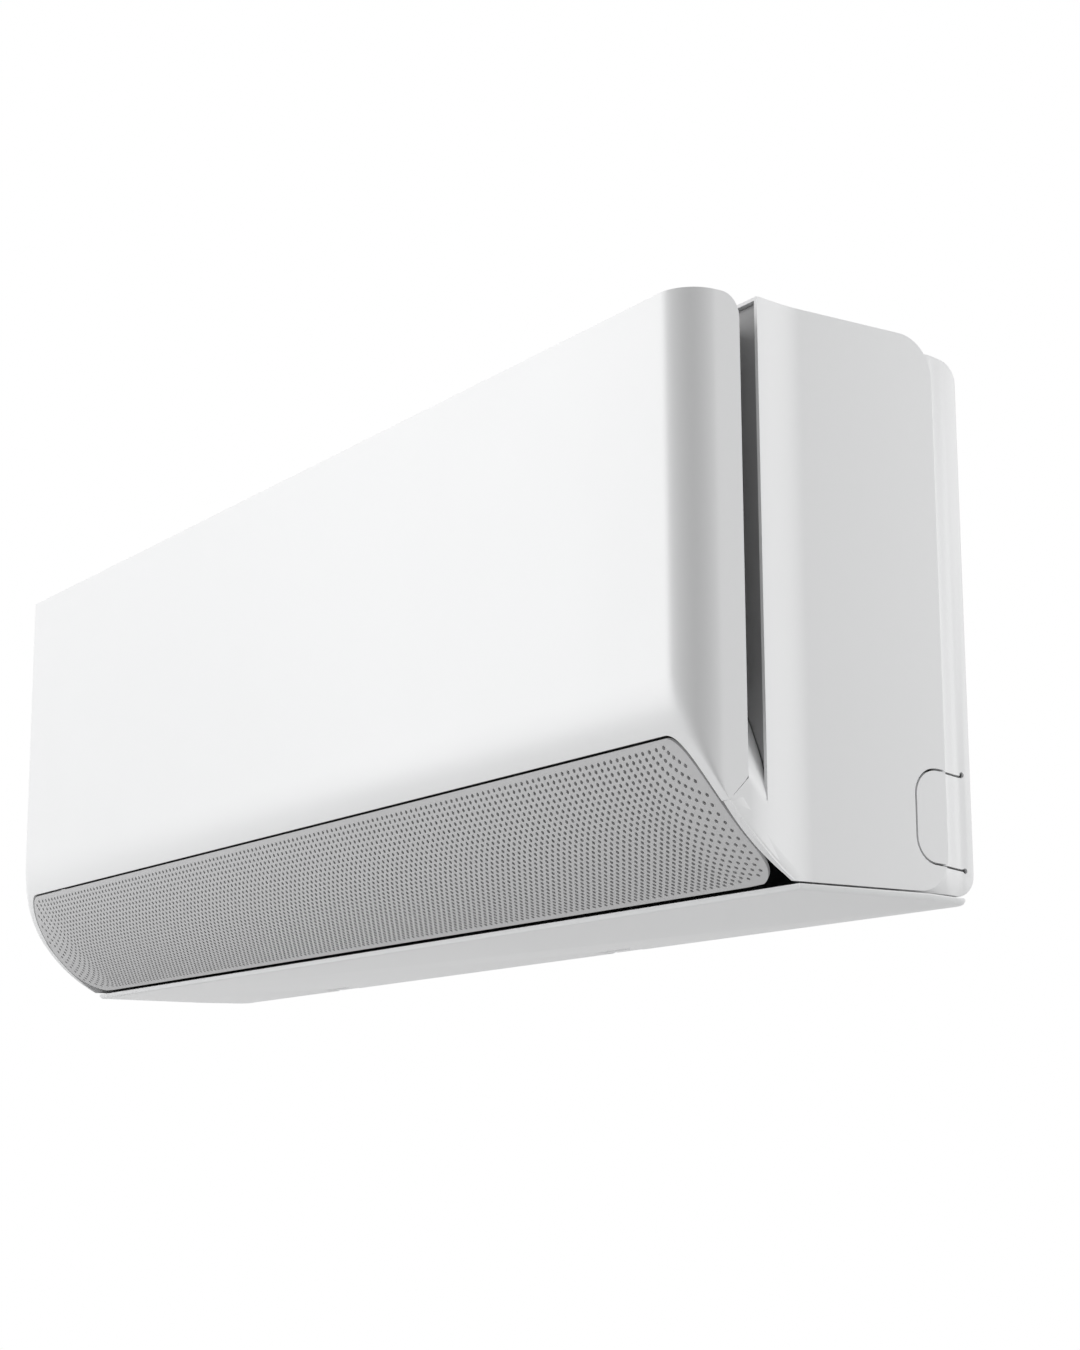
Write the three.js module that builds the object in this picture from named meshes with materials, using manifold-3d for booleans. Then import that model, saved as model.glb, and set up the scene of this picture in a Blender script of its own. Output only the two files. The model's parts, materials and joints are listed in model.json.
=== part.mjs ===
// The wall-hung indoor unit of a split air conditioner, built piece by piece.
// Millimetres. +X is right as seen from the front, the front faces -Y, +Z is up.
// Inside the group "unit", x = 0 is the middle, y = 0 the front face and z = 0 the underside.

import * as THREE from 'three';
import { mergeVertices } from 'three/addons/utils/BufferGeometryUtils.js';
import Module from 'manifold-3d';

const wasm = await Module();
wasm.setup();

// Driving dimensions
const WIDTH = 940;
const HEIGHT = 330;
const DEPTH = 210;
const HALF = WIDTH / 2;
const WALL = 2.6; // thickness of the outer shells
const GAP = 0.4; // between pieces that touch

// The lower front is a round surface: an arc across the width that the vane and the panel share
const ARC = { y: 143, z: 134, r: 147.5 };

// Front panel
const PANEL_BACK = 38.8; // how far its sides wrap back
const PANEL_CORNER = 22; // plan radius of its upright front corners
const PANEL_TOP_CORNER = { ry: 12, rz: 13 }; // rounding at the top of its rear edges
const PANEL_PIVOT = { y: 36, z: 312 };
const PANEL_ARM = { inner: 424, outer: 430, peg: 437 };
const PANEL_SEAM = 19.2; // the 45 degree seam below its sides: z = y + this
const CHEEK_SEAM = 18.7; // upper edge of the cheek, on the other side of the seam

// Body behind the panel: a slot stays open between them
const BODY_FRONT = 51.5;
const SIDE_HALF = 465; // the flat sides lie a little further in than the panel
const SIDE_REAR = 185; // where the flat side ends
const SIDE_TOP = 332.2; // the sides stand a little above the panel
const SIDE_BOTTOM = 4.8;
const SIDE_TOP_R = 24; // round rear corners of the flat side
const SIDE_LOW_R = 22;
const CHEEK_TOP = 44.6; // where the cheek's front edge meets the seam
const STRAP_BOTTOM = 4.2;
const STRAP_CORNER = 13; // round corners at the wall
const SIDE_INNER = 440; // how far the covers reach in from the sides
const STRAP_HALF = 461.9; // rear strap, set in behind the sides
const REAR_HALF = 459; // the strap's rear edge is narrower still
const REAR_TOP = 324.5;
const REAR = DEPTH - 0.3; // the body's rear edge, just clear of the wall

// Vane and its outline seen from the front
const VANE = { top: 80, bottom: 5, thick: 3, half: 462.5, pivotY: 74, pivotZ: 30 };
const VANE_GAP = 1.5;
const VANE_TOP_CORNER = { rx: 23.5, rz: 50 };
const VANE_LOW_CORNER = { rx: 35.5, ry: 27, y: 46 }; // seen from above
const VANE_ARM = { x: 443, half: 3, boss: 7, peg: 3.5, pegEnd: 456, low: 14, high: 36 };

// Air path: the duct runs between x = DUCT_LEFT and DUCT_RIGHT
const DUCT_LEFT = -420;
const DUCT_RIGHT = 305;
const DUCT_WALL = 3;
const FAN = { y: 138, z: 130, r: 45, shaft: 5 };
const LIP_RADIUS = 26; // round recess that the vane's lower edge sweeps through
const LIP_HALF = 461.8;
const ROOF_FRONT = [14, 83.5];
const ROOF_REAR = [93, 104];
const FLOOR_FRONT = [104, 36.8];
const LOUVER = { y: 60, z: 58, half: 18 };

// Blades that swing the air left and right
const BLADES_PER_GANG = 5;
const BLADE_PITCH = 66;
const BLADE_FOOT = [116, 47.9]; // on the duct floor
const FLOW = new THREE.Vector2(-0.759, -0.651); // along the duct floor, outwards
const ACROSS = new THREE.Vector2(-0.651, 0.759); // square to it, upwards
const GANG_STARTS = { left: -388, right: -26 };
const BLADE = { front: 17, rear: -12, foot: 1.2, height: 34, thick: 2, linkAlong: -16, linkUp: 17 };

// Side cover: its front edge flares out to the panel's width, and a ramp closes the slot at the bottom
const FLARE = { front: 38, rear: 86, edge: 52.2 };
const RAMP = { low: 57.5, rise: 68.8, depth: 28.8, power: 1.35, end: 62.7, fall: 0.92 };
const CHEEK_INNER = 464.2;
const RAMP_TOP_X = HALF - RAMP.depth * (RAMP.end / RAMP.rise) ** RAMP.power;
const SLIT = { end: 203, high: 74, low: 18.5, y: 177.5, r: 16, wide: 1.3, hole: 1.5 };
const LINER = { inner: 438.6, outer: 465.2, front: 41.5, rear: 56.6, thick: 2.2, top: 321 };

// Small things placed along the width
const CLIP_X = [-270, 120];
const HOOK_X = [-200, 200];
const SCREW_X = [-414, 0, 424];
const SCREW_Z = 103;
const BUTTON = { x: 372, z: 140 };
const FRAME_HALF = 437; // half the width of the frames between the side slots

// Evaporator: the ends of its three slabs, seen from the side
const COIL_THICK = 24;
const COILS = {
  evaporator_front_lower: [[72.7, 114], [72.7, 204]],
  evaporator_front_upper: [[76.5, 214], [116, 292]],
  evaporator_rear: [[143, 288], [181, 219]],
};
const COIL_LEFT = -412;
const COIL_RIGHT = 298;

const SIDES = [-1, 1]; // left, right
const PLATE_CENTRE_Z = 175; // middle of the wall plate above the underside

const finish = {
  white: new THREE.MeshStandardMaterial({ color: 0xf4f5f6, roughness: 0.35, metalness: 0 }),
  inner: new THREE.MeshStandardMaterial({ color: 0xd9dbdd, roughness: 0.5, metalness: 0 }),
  charcoal: new THREE.MeshStandardMaterial({ color: 0x7c7d7f, roughness: 0.6, metalness: 0 }),
  grey: new THREE.MeshStandardMaterial({ color: 0x77797b, roughness: 0.6, metalness: 0 }),
  dark: new THREE.MeshStandardMaterial({ color: 0x2b2d2f, roughness: 0.6, metalness: 0 }),
  net: new THREE.MeshStandardMaterial({ color: 0x9aa0a4, roughness: 0.8, metalness: 0 }),
  aluminium: new THREE.MeshStandardMaterial({ color: 0xc8ccd0, roughness: 0.35, metalness: 0.9 }),
  steel: new THREE.MeshStandardMaterial({ color: 0xb4b8bb, roughness: 0.4, metalness: 0.9 }),
  copper: new THREE.MeshStandardMaterial({ color: 0xc07a50, roughness: 0.3, metalness: 1 }),
  brass: new THREE.MeshStandardMaterial({ color: 0xc9a04a, roughness: 0.35, metalness: 1 }),
  rubber: new THREE.MeshStandardMaterial({ color: 0x1d1d1d, roughness: 0.9, metalness: 0 }),
  foam: new THREE.MeshStandardMaterial({ color: 0xe8e8e4, roughness: 0.95, metalness: 0 }),
  board: new THREE.MeshStandardMaterial({ color: 0x2f6b3c, roughness: 0.6, metalness: 0 }),
};

const unit = new THREE.Group();
unit.position.set(0, -DEPTH, -PLATE_CENTRE_Z);

// ---------------------------------------------------------------- solids

function solid(geometry) {
  geometry.deleteAttribute('normal');
  geometry.deleteAttribute('uv');
  const merged = mergeVertices(geometry, 1e-4);
  const vertProperties = merged.attributes.position.array;
  const triVerts = new Uint32Array(merged.index.array);
  return new wasm.Manifold(new wasm.Mesh({ numProp: 3, vertProperties, triVerts }));
}

function geometryOf(body) {
  const mesh = body.getMesh();
  const geometry = new THREE.BufferGeometry();
  geometry.setAttribute('position', new THREE.BufferAttribute(mesh.vertProperties, 3));
  geometry.setIndex(new THREE.BufferAttribute(mesh.triVerts, 1));
  return geometry;
}

function add(name, body, material) {
  const geometry = geometryOf(body).toNonIndexed();
  geometry.computeVertexNormals();
  const mesh = new THREE.Mesh(geometry, material);
  mesh.name = name;
  unit.add(mesh);
  return mesh;
}

// Adds a right-hand piece and its mirror image on the left
function addPair(name, body, material) {
  add(`${name}_right`, body, material);
  add(`${name}_left`, body, material).scale.x = -1;
}

function extrude(points, depth) {
  const shape = new THREE.Shape(points.map(([u, v]) => new THREE.Vector2(u, v)));
  return new THREE.ExtrudeGeometry(shape, { depth, bevelEnabled: false, steps: 1 });
}

// An outline of (y, z) points pushed along X
function alongX(points, x0, x1) {
  const axes = new THREE.Matrix4().makeBasis(
    new THREE.Vector3(0, 1, 0), new THREE.Vector3(0, 0, 1), new THREE.Vector3(1, 0, 0));
  return solid(extrude(points, x1 - x0).applyMatrix4(axes).translate(x0, 0, 0));
}

// An outline of (x, z) points pushed along Y
function alongY(points, y0, y1) {
  const axes = new THREE.Matrix4().makeBasis(
    new THREE.Vector3(1, 0, 0), new THREE.Vector3(0, 0, 1), new THREE.Vector3(0, -1, 0));
  return solid(extrude(points, y1 - y0).applyMatrix4(axes).translate(0, y1, 0));
}

// An outline of (x, y) points pushed along Z
function alongZ(points, z0, z1) {
  return solid(extrude(points, z1 - z0).translate(0, 0, z0));
}

function box(x0, x1, y0, y1, z0, z1) {
  const geometry = new THREE.BoxGeometry(x1 - x0, y1 - y0, z1 - z0);
  return solid(geometry.translate((x0 + x1) / 2, (y0 + y1) / 2, (z0 + z1) / 2));
}

// A round bar along X
function rod(y, z, r, x0, x1, sides = 16) {
  const geometry = new THREE.CylinderGeometry(r, r, x1 - x0, sides).rotateZ(Math.PI / 2);
  return solid(geometry.translate((x0 + x1) / 2, y, z));
}

// A round bar along Y
function rodY(x, z, r, y0, y1, sides = 12) {
  return solid(new THREE.CylinderGeometry(r, r, y1 - y0, sides).translate(x, (y0 + y1) / 2, z));
}

// A tube along a smooth route
function pipe(route, r, steps = 30, sides = 8) {
  const ring = [];
  for (let i = 0; i < sides; i++) {
    const a = (2 * Math.PI * i) / sides;
    ring.push(new THREE.Vector2(r * Math.cos(a), r * Math.sin(a)));
  }
  const path = new THREE.CatmullRomCurve3(route.map((p) => new THREE.Vector3(...p)), false, 'centripetal');
  return solid(new THREE.ExtrudeGeometry(new THREE.Shape(ring), { steps, extrudePath: path }));
}

// The same stretch of X on the right (side = 1) or on the left (side = -1)
function onSide(side, x0, x1) {
  return side > 0 ? [x0, x1] : [-x1, -x0];
}

function join(...bodies) {
  return bodies.reduce((whole, body) => whole.add(body));
}

function cut(body, ...tools) {
  return tools.reduce((rest, tool) => rest.subtract(tool), body);
}

// ---------------------------------------------------------------- outlines

// Points of an ellipse arc, angles in degrees
function arc(cu, cv, ru, rv, from, to, steps = 8) {
  const points = [];
  for (let i = 0; i <= steps; i++) {
    const a = THREE.MathUtils.degToRad(from + ((to - from) * i) / steps);
    points.push([cu + ru * Math.cos(a), cv + rv * Math.sin(a)]);
  }
  return points;
}

// A strip of even thickness to the left of a line of points
function strip(line, thick) {
  const side = line.map(([u, v], i) => {
    const [pu, pv] = line[Math.max(i - 1, 0)];
    const [nu, nv] = line[Math.min(i + 1, line.length - 1)];
    const length = Math.hypot(nu - pu, nv - pv);
    return [u - (thick * (nv - pv)) / length, v + (thick * (nu - pu)) / length];
  });
  return [...line, ...side.reverse()];
}

// Depth of the round lower front at height z, for a surface set in by inset
function arcY(z, inset = 0) {
  return ARC.y - Math.sqrt((ARC.r - inset) ** 2 - (z - ARC.z) ** 2);
}

// Points of the round lower front between two heights
function frontArc(z0, z1, inset = 0, steps = 12) {
  const points = [];
  for (let i = 0; i <= steps; i++) {
    const z = z0 + ((z1 - z0) * i) / steps;
    points.push([arcY(z, inset), z]);
  }
  return points;
}

// Height at which the round lower front runs out into the flat front
function arcTop(inset) {
  return ARC.z - Math.sqrt((ARC.r - inset) ** 2 - (ARC.y - inset) ** 2);
}

// Front view of the vane, grown by grow: long round corners at the top
function vaneFront(grow) {
  const { rx, rz } = VANE_TOP_CORNER;
  const half = VANE.half + grow;
  const top = VANE.top + grow;
  const right = arc(half - rx, top - rz, rx, rz, 0, 90);
  const left = arc(-half + rx, top - rz, rx, rz, 90, 180);
  return [[half, -20], ...right, ...left, [-half, -20]];
}

// ---------------------------------------------------------------- front panel

function panelRegion(inset, top, rear) {
  const low = frontArc(30, arcTop(inset), inset);
  return [...low, [inset, top], [rear, top], [rear, 30]];
}

function frontPanel() {
  const plan = (inset) => {
    const r = PANEL_CORNER - inset;
    const x = HALF - PANEL_CORNER;
    return [
      [HALF - inset, 60],
      [-HALF + inset, 60],
      ...arc(-x, PANEL_CORNER, r, r, 180, 270),
      ...arc(x, PANEL_CORNER, r, r, 270, 360),
    ];
  };
  const outer = alongZ(plan(0), 0, HEIGHT).intersect(alongX(panelRegion(0, 340, 60), -HALF - 1, HALF + 1));
  const hollow = alongZ(plan(WALL), -5, HEIGHT - WALL)
    .intersect(alongX(panelRegion(WALL, 340, 60), -HALF - 1, HALF + 1));
  // Side view: rounded at the top rear, cut at 45 degrees at the bottom
  const { ry, rz } = PANEL_TOP_CORNER;
  const profile = [
    [-5, 340],
    [-5, -5 + PANEL_SEAM],
    [PANEL_BACK - 2, PANEL_BACK - 2 + PANEL_SEAM],
    [PANEL_BACK, PANEL_BACK + PANEL_SEAM + 1],
    ...arc(PANEL_BACK - ry, HEIGHT - rz, ry, rz, 0, 90),
    [PANEL_BACK - ry, 340],
  ];
  const opening = alongY(vaneFront(VANE_GAP), -10, 60);
  let panel = outer.subtract(hollow).intersect(alongX(profile, -HALF - 1, HALF + 1)).subtract(opening);
  for (const side of SIDES) {
    panel = panel.add(panelArm(side));
  }
  add('front_panel', panel, finish.white);
}

// Arm inside the panel with a peg that turns in the front frame's ear
function panelArm(side) {
  const { y, z } = PANEL_PIVOT;
  const { inner, outer, peg } = PANEL_ARM;
  const outline = [[WALL - 1, z - 22], ...arc(y, z, 5, 5, -80, 80), [WALL - 1, z + 8]];
  return join(alongX(outline, ...onSide(side, inner, outer)), rod(y, z, 3, ...onSide(side, outer - 1, peg)));
}

// ---------------------------------------------------------------- perforated vane

function perforatedVane() {
  const { top, bottom, thick, half, pivotY, pivotZ } = VANE;
  const shell = [...frontArc(bottom, top, 0, 16), ...frontArc(bottom + 2.4, top, thick, 16).reverse()];
  // Seen from above, the lower corners are rounded too
  const { rx, ry, y } = VANE_LOW_CORNER;
  const corners = [...arc(half - rx, y, rx, ry, 0, 90), ...arc(rx - half, y, rx, ry, 90, 180)];
  const plan = [[half, -5], ...corners, [-half, -5]];
  let vane = alongX(shell, -half, half)
    .intersect(alongY(vaneFront(0), -5, 90))
    .intersect(alongZ(plan, 0, 90));
  // Arms from the low part of the shell to the pivot, with pegs that point outwards
  const boss = arc(pivotY, pivotZ, VANE_ARM.boss, VANE_ARM.boss, -60, 110);
  const arm = [...boss, ...frontArc(VANE_ARM.high, VANE_ARM.low, thick - 0.5, 8)];
  for (const side of SIDES) {
    vane = join(vane, alongX(arm, ...onSide(side, VANE_ARM.x - VANE_ARM.half, VANE_ARM.x + VANE_ARM.half)),
      rod(pivotY, pivotZ, VANE_ARM.peg, ...onSide(side, VANE_ARM.x, VANE_ARM.pegEnd)));
  }
  add('perforated_vane', vane, finish.white);
}

// ---------------------------------------------------------------- inner louver and swing blades

function innerLouver() {
  const { y, z, half } = LOUVER;
  const lean = THREE.MathUtils.degToRad(35);
  const along = [Math.cos(lean), Math.sin(lean)];
  const at = (u, v) => [y + u * along[0] - v * along[1], z + u * along[1] + v * along[0]];
  const bow = (u) => 2.2 * (1 - (u / half) ** 2);
  const steps = 8;
  const lower = [];
  const upper = [];
  for (let i = 0; i <= steps; i++) {
    const u = -half + (2 * half * i) / steps;
    lower.push(at(u, -1.6 + bow(u)));
    upper.push(at(u, 0.6 + bow(u)));
  }
  const blade = alongX([...lower, ...upper.reverse()], DUCT_LEFT + 6, DUCT_RIGHT - 6);
  const stub = (x0, x1) => rod(y, z, 2.5, x0, x1, 12);
  add('inner_louver', join(blade, stub(DUCT_LEFT - 4, DUCT_LEFT + 20), stub(DUCT_RIGHT - 20, DUCT_RIGHT + 4)),
    finish.charcoal);
}

// A point above the duct floor: along the flow and square to it
function onFloor(along, up) {
  return [
    BLADE_FOOT[0] + FLOW.x * along + ACROSS.x * up,
    BLADE_FOOT[1] + FLOW.y * along + ACROSS.y * up,
  ];
}

function swingBlade(x) {
  const { front, rear, foot, height, thick, linkAlong, linkUp } = BLADE;
  const outline = [
    onFloor(rear, foot), onFloor(front - 5, foot), onFloor(front, foot + 6), onFloor(front, height - 8),
    onFloor(front - 9, height), onFloor(rear + 4, height), onFloor(rear, height - 5),
    onFloor(rear, linkUp - 1.5), onFloor(linkAlong - 2.5, linkUp - 1.5),
    onFloor(linkAlong - 2.5, linkUp - 4.5), onFloor(rear, linkUp - 4.5),
  ];
  const fin = alongX(outline, x - thick / 2, x + thick / 2);
  return join(fin, post(x, 0, 0.3, foot + 2, 3), post(x, linkAlong, linkUp - 3, linkUp + 4, 1.2));
}

// A round post square to the duct floor
function post(x, along, up0, up1, r) {
  const [y, z] = onFloor(along, (up0 + up1) / 2);
  const geometry = new THREE.CylinderGeometry(r, r, up1 - up0, 8);
  geometry.rotateX(Math.atan2(ACROSS.y, ACROSS.x));
  return solid(geometry.translate(x, y, z));
}

function swingGang(side) {
  const { linkAlong, linkUp } = BLADE;
  const start = GANG_STARTS[side];
  const end = start + BLADE_PITCH * (BLADES_PER_GANG - 1);
  const section = [
    onFloor(linkAlong - 2.4, linkUp), onFloor(linkAlong + 2.4, linkUp),
    onFloor(linkAlong + 2.4, linkUp + 3), onFloor(linkAlong - 2.4, linkUp + 3),
  ];
  let bar = alongX(section, start - 5, end + 5);
  for (let i = 0; i < BLADES_PER_GANG; i++) {
    const x = start + BLADE_PITCH * i;
    add(`swing_blade_${side}_${i + 1}`, swingBlade(x), finish.charcoal);
    bar = bar.subtract(post(x, linkAlong, linkUp - 1, linkUp + 4.5, 1.7));
  }
  add(`link_bar_${side}`, bar, finish.dark);
}

// ---------------------------------------------------------------- side covers and slot liners

// Plan of the side from its front edge to its rear edge: an even S-curve, then flat
function sidePlan(from, inset = 0) {
  const steps = 10;
  const points = [];
  for (let i = 0; i <= steps; i++) {
    const y = from + ((FLARE.rear - from) * i) / steps;
    const turn = (Math.PI * Math.max(0, y - FLARE.front)) / (FLARE.rear - FLARE.front);
    points.push([SIDE_HALF + ((HALF - SIDE_HALF) * (1 + Math.cos(turn))) / 2 - inset, y]);
  }
  return points;
}

// Pocket inside the cover, in plan, that the vane's lower corner swings through
const VANE_RELIEF = [[430, -5], [CHEEK_INNER, -5], [CHEEK_INNER, 76], [SIDE_HALF - WALL, 86], [430, 86]];

function sideCover() {
  const inside = SIDE_INNER;
  const side = [...sidePlan(FLARE.edge), [SIDE_HALF, SIDE_REAR]];
  const cheekPlan = [[CHEEK_INNER, 0], [HALF, 0], ...sidePlan(FLARE.front), [CHEEK_INNER - 3, FLARE.rear]];
  const flat = [
    ...frontArc(SIDE_BOTTOM, CHEEK_TOP, 0, 10).reverse(),
    ...arc(SIDE_REAR - SIDE_LOW_R, SIDE_BOTTOM + SIDE_LOW_R, SIDE_LOW_R, SIDE_LOW_R, -90, 0),
    ...arc(SIDE_REAR - SIDE_TOP_R, SIDE_TOP - SIDE_TOP_R, SIDE_TOP_R, SIDE_TOP_R, 0, 90),
    [FLARE.edge, SIDE_TOP],
    [FLARE.edge, 70],
    [PANEL_BACK, 70],
    [PANEL_BACK, PANEL_BACK + CHEEK_SEAM],
  ];
  // The strap starts inside the cover, where the two pieces are one
  const start = 150;
  const strap = [[inside, start], ...strapPlan(start, 0), [inside, REAR]];
  const corner = STRAP_CORNER;
  const strapSide = [
    [start, STRAP_BOTTOM], ...arc(REAR - corner, STRAP_BOTTOM + corner, corner, corner, -90, 0, 6),
    ...arc(REAR - corner, REAR_TOP - corner, corner, corner, 0, 90, 6), [start, REAR_TOP],
  ];
  const space = sheared(alongY(slotSpace(), -5, 95));
  const cheek = cut(alongZ(cheekPlan, 0, 80), space);
  const plateau = alongZ([[inside, FLARE.edge], ...side, [inside, SIDE_REAR]], 0, 340);
  const shell = plateau.add(cheek).intersect(alongX(flat, inside, HALF));
  let cover = shell.add(alongZ(strap, 0, HEIGHT).intersect(alongX(strapSide, inside, HALF)));
  const inner = [[430, 40], ...sidePlan(FLARE.edge - 12, WALL).map(([x, y]) => [Math.min(x, 466.5), y])];
  const innerSide = [...inner, [SIDE_HALF - WALL, start - 5]];
  cover = cut(cover,
    alongZ([...innerSide, ...strapPlan(start, WALL), [REAR_HALF - WALL, 215], [430, 215]],
      -5, REAR_TOP - WALL),
    alongZ([...innerSide, [430, start - 5]], 300, SIDE_TOP - WALL),
    box(430, HALF + 1, -5, FLARE.edge, 90, 340),
    box(430, CHEEK_INNER, -5, 60, -5, 40),
    alongZ(VANE_RELIEF, -5, 40));
  const wall = sheared(alongY(rampWall(), PANEL_BACK + GAP, LINER.rear - LINER.thick - 0.5));
  const reach = alongZ([[430, 30], [HALF, 30], ...sidePlan(FLARE.front), [430, 90]], 0, 200);
  cover = cover.add(wall.intersect(reach));
  addPair('side_cover', cut(cover, knockOutSlit()), finish.white);
}

// Ramp at the bottom of the slot, where the slot meets the panel: points (x, z) from the side inwards
function ramp(inset = 0, drop = 0) {
  const steps = 10;
  const points = [];
  for (let i = 0; i <= steps; i++) {
    const h = (RAMP.end * i) / steps;
    points.push([HALF - RAMP.depth * (h / RAMP.rise) ** RAMP.power - inset, RAMP.low + h - drop]);
  }
  return points;
}

// The open slot above the ramp
function slotSpace() {
  return [[HALF + 5, RAMP.low], ...ramp(), [RAMP_TOP_X, HEIGHT + 40], [HALF + 5, HEIGHT + 40]];
}

function rampWall() {
  return [...ramp(), ...ramp(3.2, 1.5).reverse()];
}

// The ramp drops towards the rear, square to the seam below the panel
function sheared(body) {
  return body.transform([1, 0, 0, 0, 0, 1, -RAMP.fall, 0, 0, 0, 1, 0, 0, 0, RAMP.fall * PANEL_BACK, 1]);
}

// Plan of the rear strap: straight behind the side, then an S-curve in to its rear edge
function strapPlan(start, inset) {
  const points = [[STRAP_HALF - inset, start]];
  const steps = 6;
  for (let i = 0; i <= steps; i++) {
    const t = i / steps;
    const ease = t * t * (3 - 2 * t);
    points.push([STRAP_HALF + (REAR_HALF - STRAP_HALF) * ease - inset, SIDE_REAR + 16 * t]);
  }
  points.push([REAR_HALF - inset, REAR]);
  return points;
}

// D-shaped slit round the pipe knock-out: open towards the wall, with a round hole at each end
function knockOutSlit() {
  const { end, high, low, y, r, wide, hole } = SLIT;
  const line = [
    [end, high],
    ...arc(y, high - r - 1.5, r, r, 90, 180, 6),
    ...arc(y, low + r + 1.5, r, r, 180, 270, 6),
    [end, low],
  ];
  const [x0, x1] = [SIDE_INNER, HALF + 5];
  return join(alongX(strip(line, -wide), x0, x1),
    rod(end, high + wide / 2, hole, x0, x1, 10), rod(end, low + wide / 2, hole, x0, x1, 10));
}

// Grey channel inside the slot: an inner wall and a rear wall that ends just above the ramp
function slotLiner() {
  const { inner, outer, front, rear, thick, top } = LINER;
  const foot = RAMP.low - RAMP.fall * (rear - thick - PANEL_BACK);
  const edge = ramp().map(([x, z]) => [x, z - RAMP.low + foot + 0.6]).filter(([x]) => x < outer);
  const first = [outer, edge[0][1] - 2];
  const outline = [first, ...edge, [inner, edge.at(-1)[1]], [inner, top], [outer, top]];
  const innerWall = box(inner, inner + thick, front, rear, 112, top);
  addPair('slot_liner', join(innerWall, alongY(outline, rear - thick, rear)), finish.grey);
}

// ---------------------------------------------------------------- bottom cover and clips

function bottomCover() {
  const front = 75.5;
  const half = SIDE_HALF + 0.8;
  const plan = (inset) => {
    const x = REAR_HALF - STRAP_CORNER;
    const y = REAR - STRAP_CORNER;
    const r = STRAP_CORNER - inset;
    return [
      [-half + inset, front + inset], [half - inset, front + inset], [half - inset, 170],
      ...arc(x, y, r, r, 0, 90, 6), ...arc(-x, y, r, r, 90, 180, 6), [-half + inset, 170],
    ];
  };
  const section = (inset) => [
    ...arc(-half + 12, 3.6, 12 - inset, 3.6 - inset, 180, 270, 6),
    ...arc(half - 12, 3.6, 12 - inset, 3.6 - inset, 270, 360, 6),
  ];
  const outer = alongZ(plan(0), 0, 3.6).intersect(alongY(section(0), 70, 215));
  const tray = alongZ(plan(2.2), 2.2, 10).add(box(-half + 8, half - 8, 60, 90, 2.2, 10));
  let cover = cut(outer, tray);
  for (const x of CLIP_X) {
    cover = cover.subtract(box(x - 16, x + 16, 196, 215, -1, 10));
  }
  add('bottom_cover', cover, finish.white);
}

function releaseClips() {
  CLIP_X.forEach((x, i) => {
    const tab = box(x - 15.6, x + 15.6, 196.4, 209.9, 0.8, 3);
    const hook = box(x - 8, x + 8, 199, 202, 2.5, 7.4);
    add(`release_clip_${i + 1}`, join(tab, hook, box(x - 12, x + 12, 198, 200, 0, 1.5)), finish.white);
  });
}

// ---------------------------------------------------------------- frames, grille, filters

function outletFrame() {
  const half = FRAME_HALF;
  const { pivotY, pivotZ } = VANE;
  const roof = strip([ROOF_FRONT, ROOF_REAR], 2.5);
  const lip = [...arc(pivotY, pivotZ, LIP_RADIUS, LIP_RADIUS, -74, -2, 10), FLOOR_FRONT];
  let frame = join(alongX(roof, -half, half), alongX(strip(lip, -2.2), -LIP_HALF, LIP_HALF));
  const wall = [
    [103.8, 36.9], [103.6, 101], [92, 105.4], [40, 91.6], [34, 70], [60, 45], [74, 42], [96, 39],
    [103.2, 32.4],
  ];
  for (const x of [DUCT_LEFT - DUCT_WALL, DUCT_RIGHT]) {
    const bore = rod(LOUVER.y, LOUVER.z, 3.2, x - 1, x + DUCT_WALL + 1, 12);
    frame = frame.add(cut(alongX(wall, x, x + DUCT_WALL), bore));
  }
  // Ears that carry the vane's pegs
  const ear = [...arc(pivotY, pivotZ, 9, 9, 90, 270), [100.9, 27.2], [103.6, 36.6], [102, 44]];
  for (const side of SIDES) {
    const bore = rod(pivotY, pivotZ, 4, ...onSide(side, 447, 454));
    frame = frame.add(cut(alongX(ear, ...onSide(side, 448, 453)), bore));
  }
  add('outlet_frame', frame, finish.charcoal);
}

function frontFrame() {
  const y0 = BODY_FRONT;
  const y1 = y0 + 1.6;
  let frame = cut(box(-FRAME_HALF, FRAME_HALF, y0, y1, 97, 321),
    box(-428, -62, y0 - 1, y1 + 1, 112, 314), box(-50, 303, y0 - 1, y1 + 1, 112, 314));
  // Ears for the panel's pegs
  const { y, z } = PANEL_PIVOT;
  const ear = [...arc(y, z, 6, 6, 90, 270), [y0 + 0.5, z - 6], [y0 + 0.5, z + 5]];
  for (const side of SIDES) {
    frame = frame.add(cut(alongX(ear, ...onSide(side, 432, 436)), rod(y, z, 3.4, ...onSide(side, 431, 437))));
  }
  frame = cut(frame, box(BUTTON.x - 6, BUTTON.x + 6, y0 - 2, y1 + 2, BUTTON.z - 6, BUTTON.z + 6),
    ...SCREW_X.map((x) => rodY(x, SCREW_Z, 2.4, y0 - 1, y1 + 1, 8)));
  add('front_frame', frame, finish.inner);
}

function manualButton() {
  const { x, z } = BUTTON;
  const cap = box(x - 5.5, x + 5.5, BODY_FRONT - 3, BODY_FRONT + 4, z - 5.5, z + 5.5);
  const collar = box(x - 8, x + 8, BODY_FRONT + 4, BODY_FRONT + 5.5, z - 8, z + 8);
  add('manual_button', join(cap, collar), finish.grey);
}

function displayBoard() {
  const base = box(332, 412, 47, BODY_FRONT - GAP, 110, 130);
  const lamps = [346, 360, 374, 388].map((x) => box(x - 3, x + 3, 45, 47.5, 116, 122));
  const receiver = rodY(402, 119, 4, 43, 47.5);
  add('display_board', join(base, ...lamps, receiver), finish.board);
}

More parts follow.
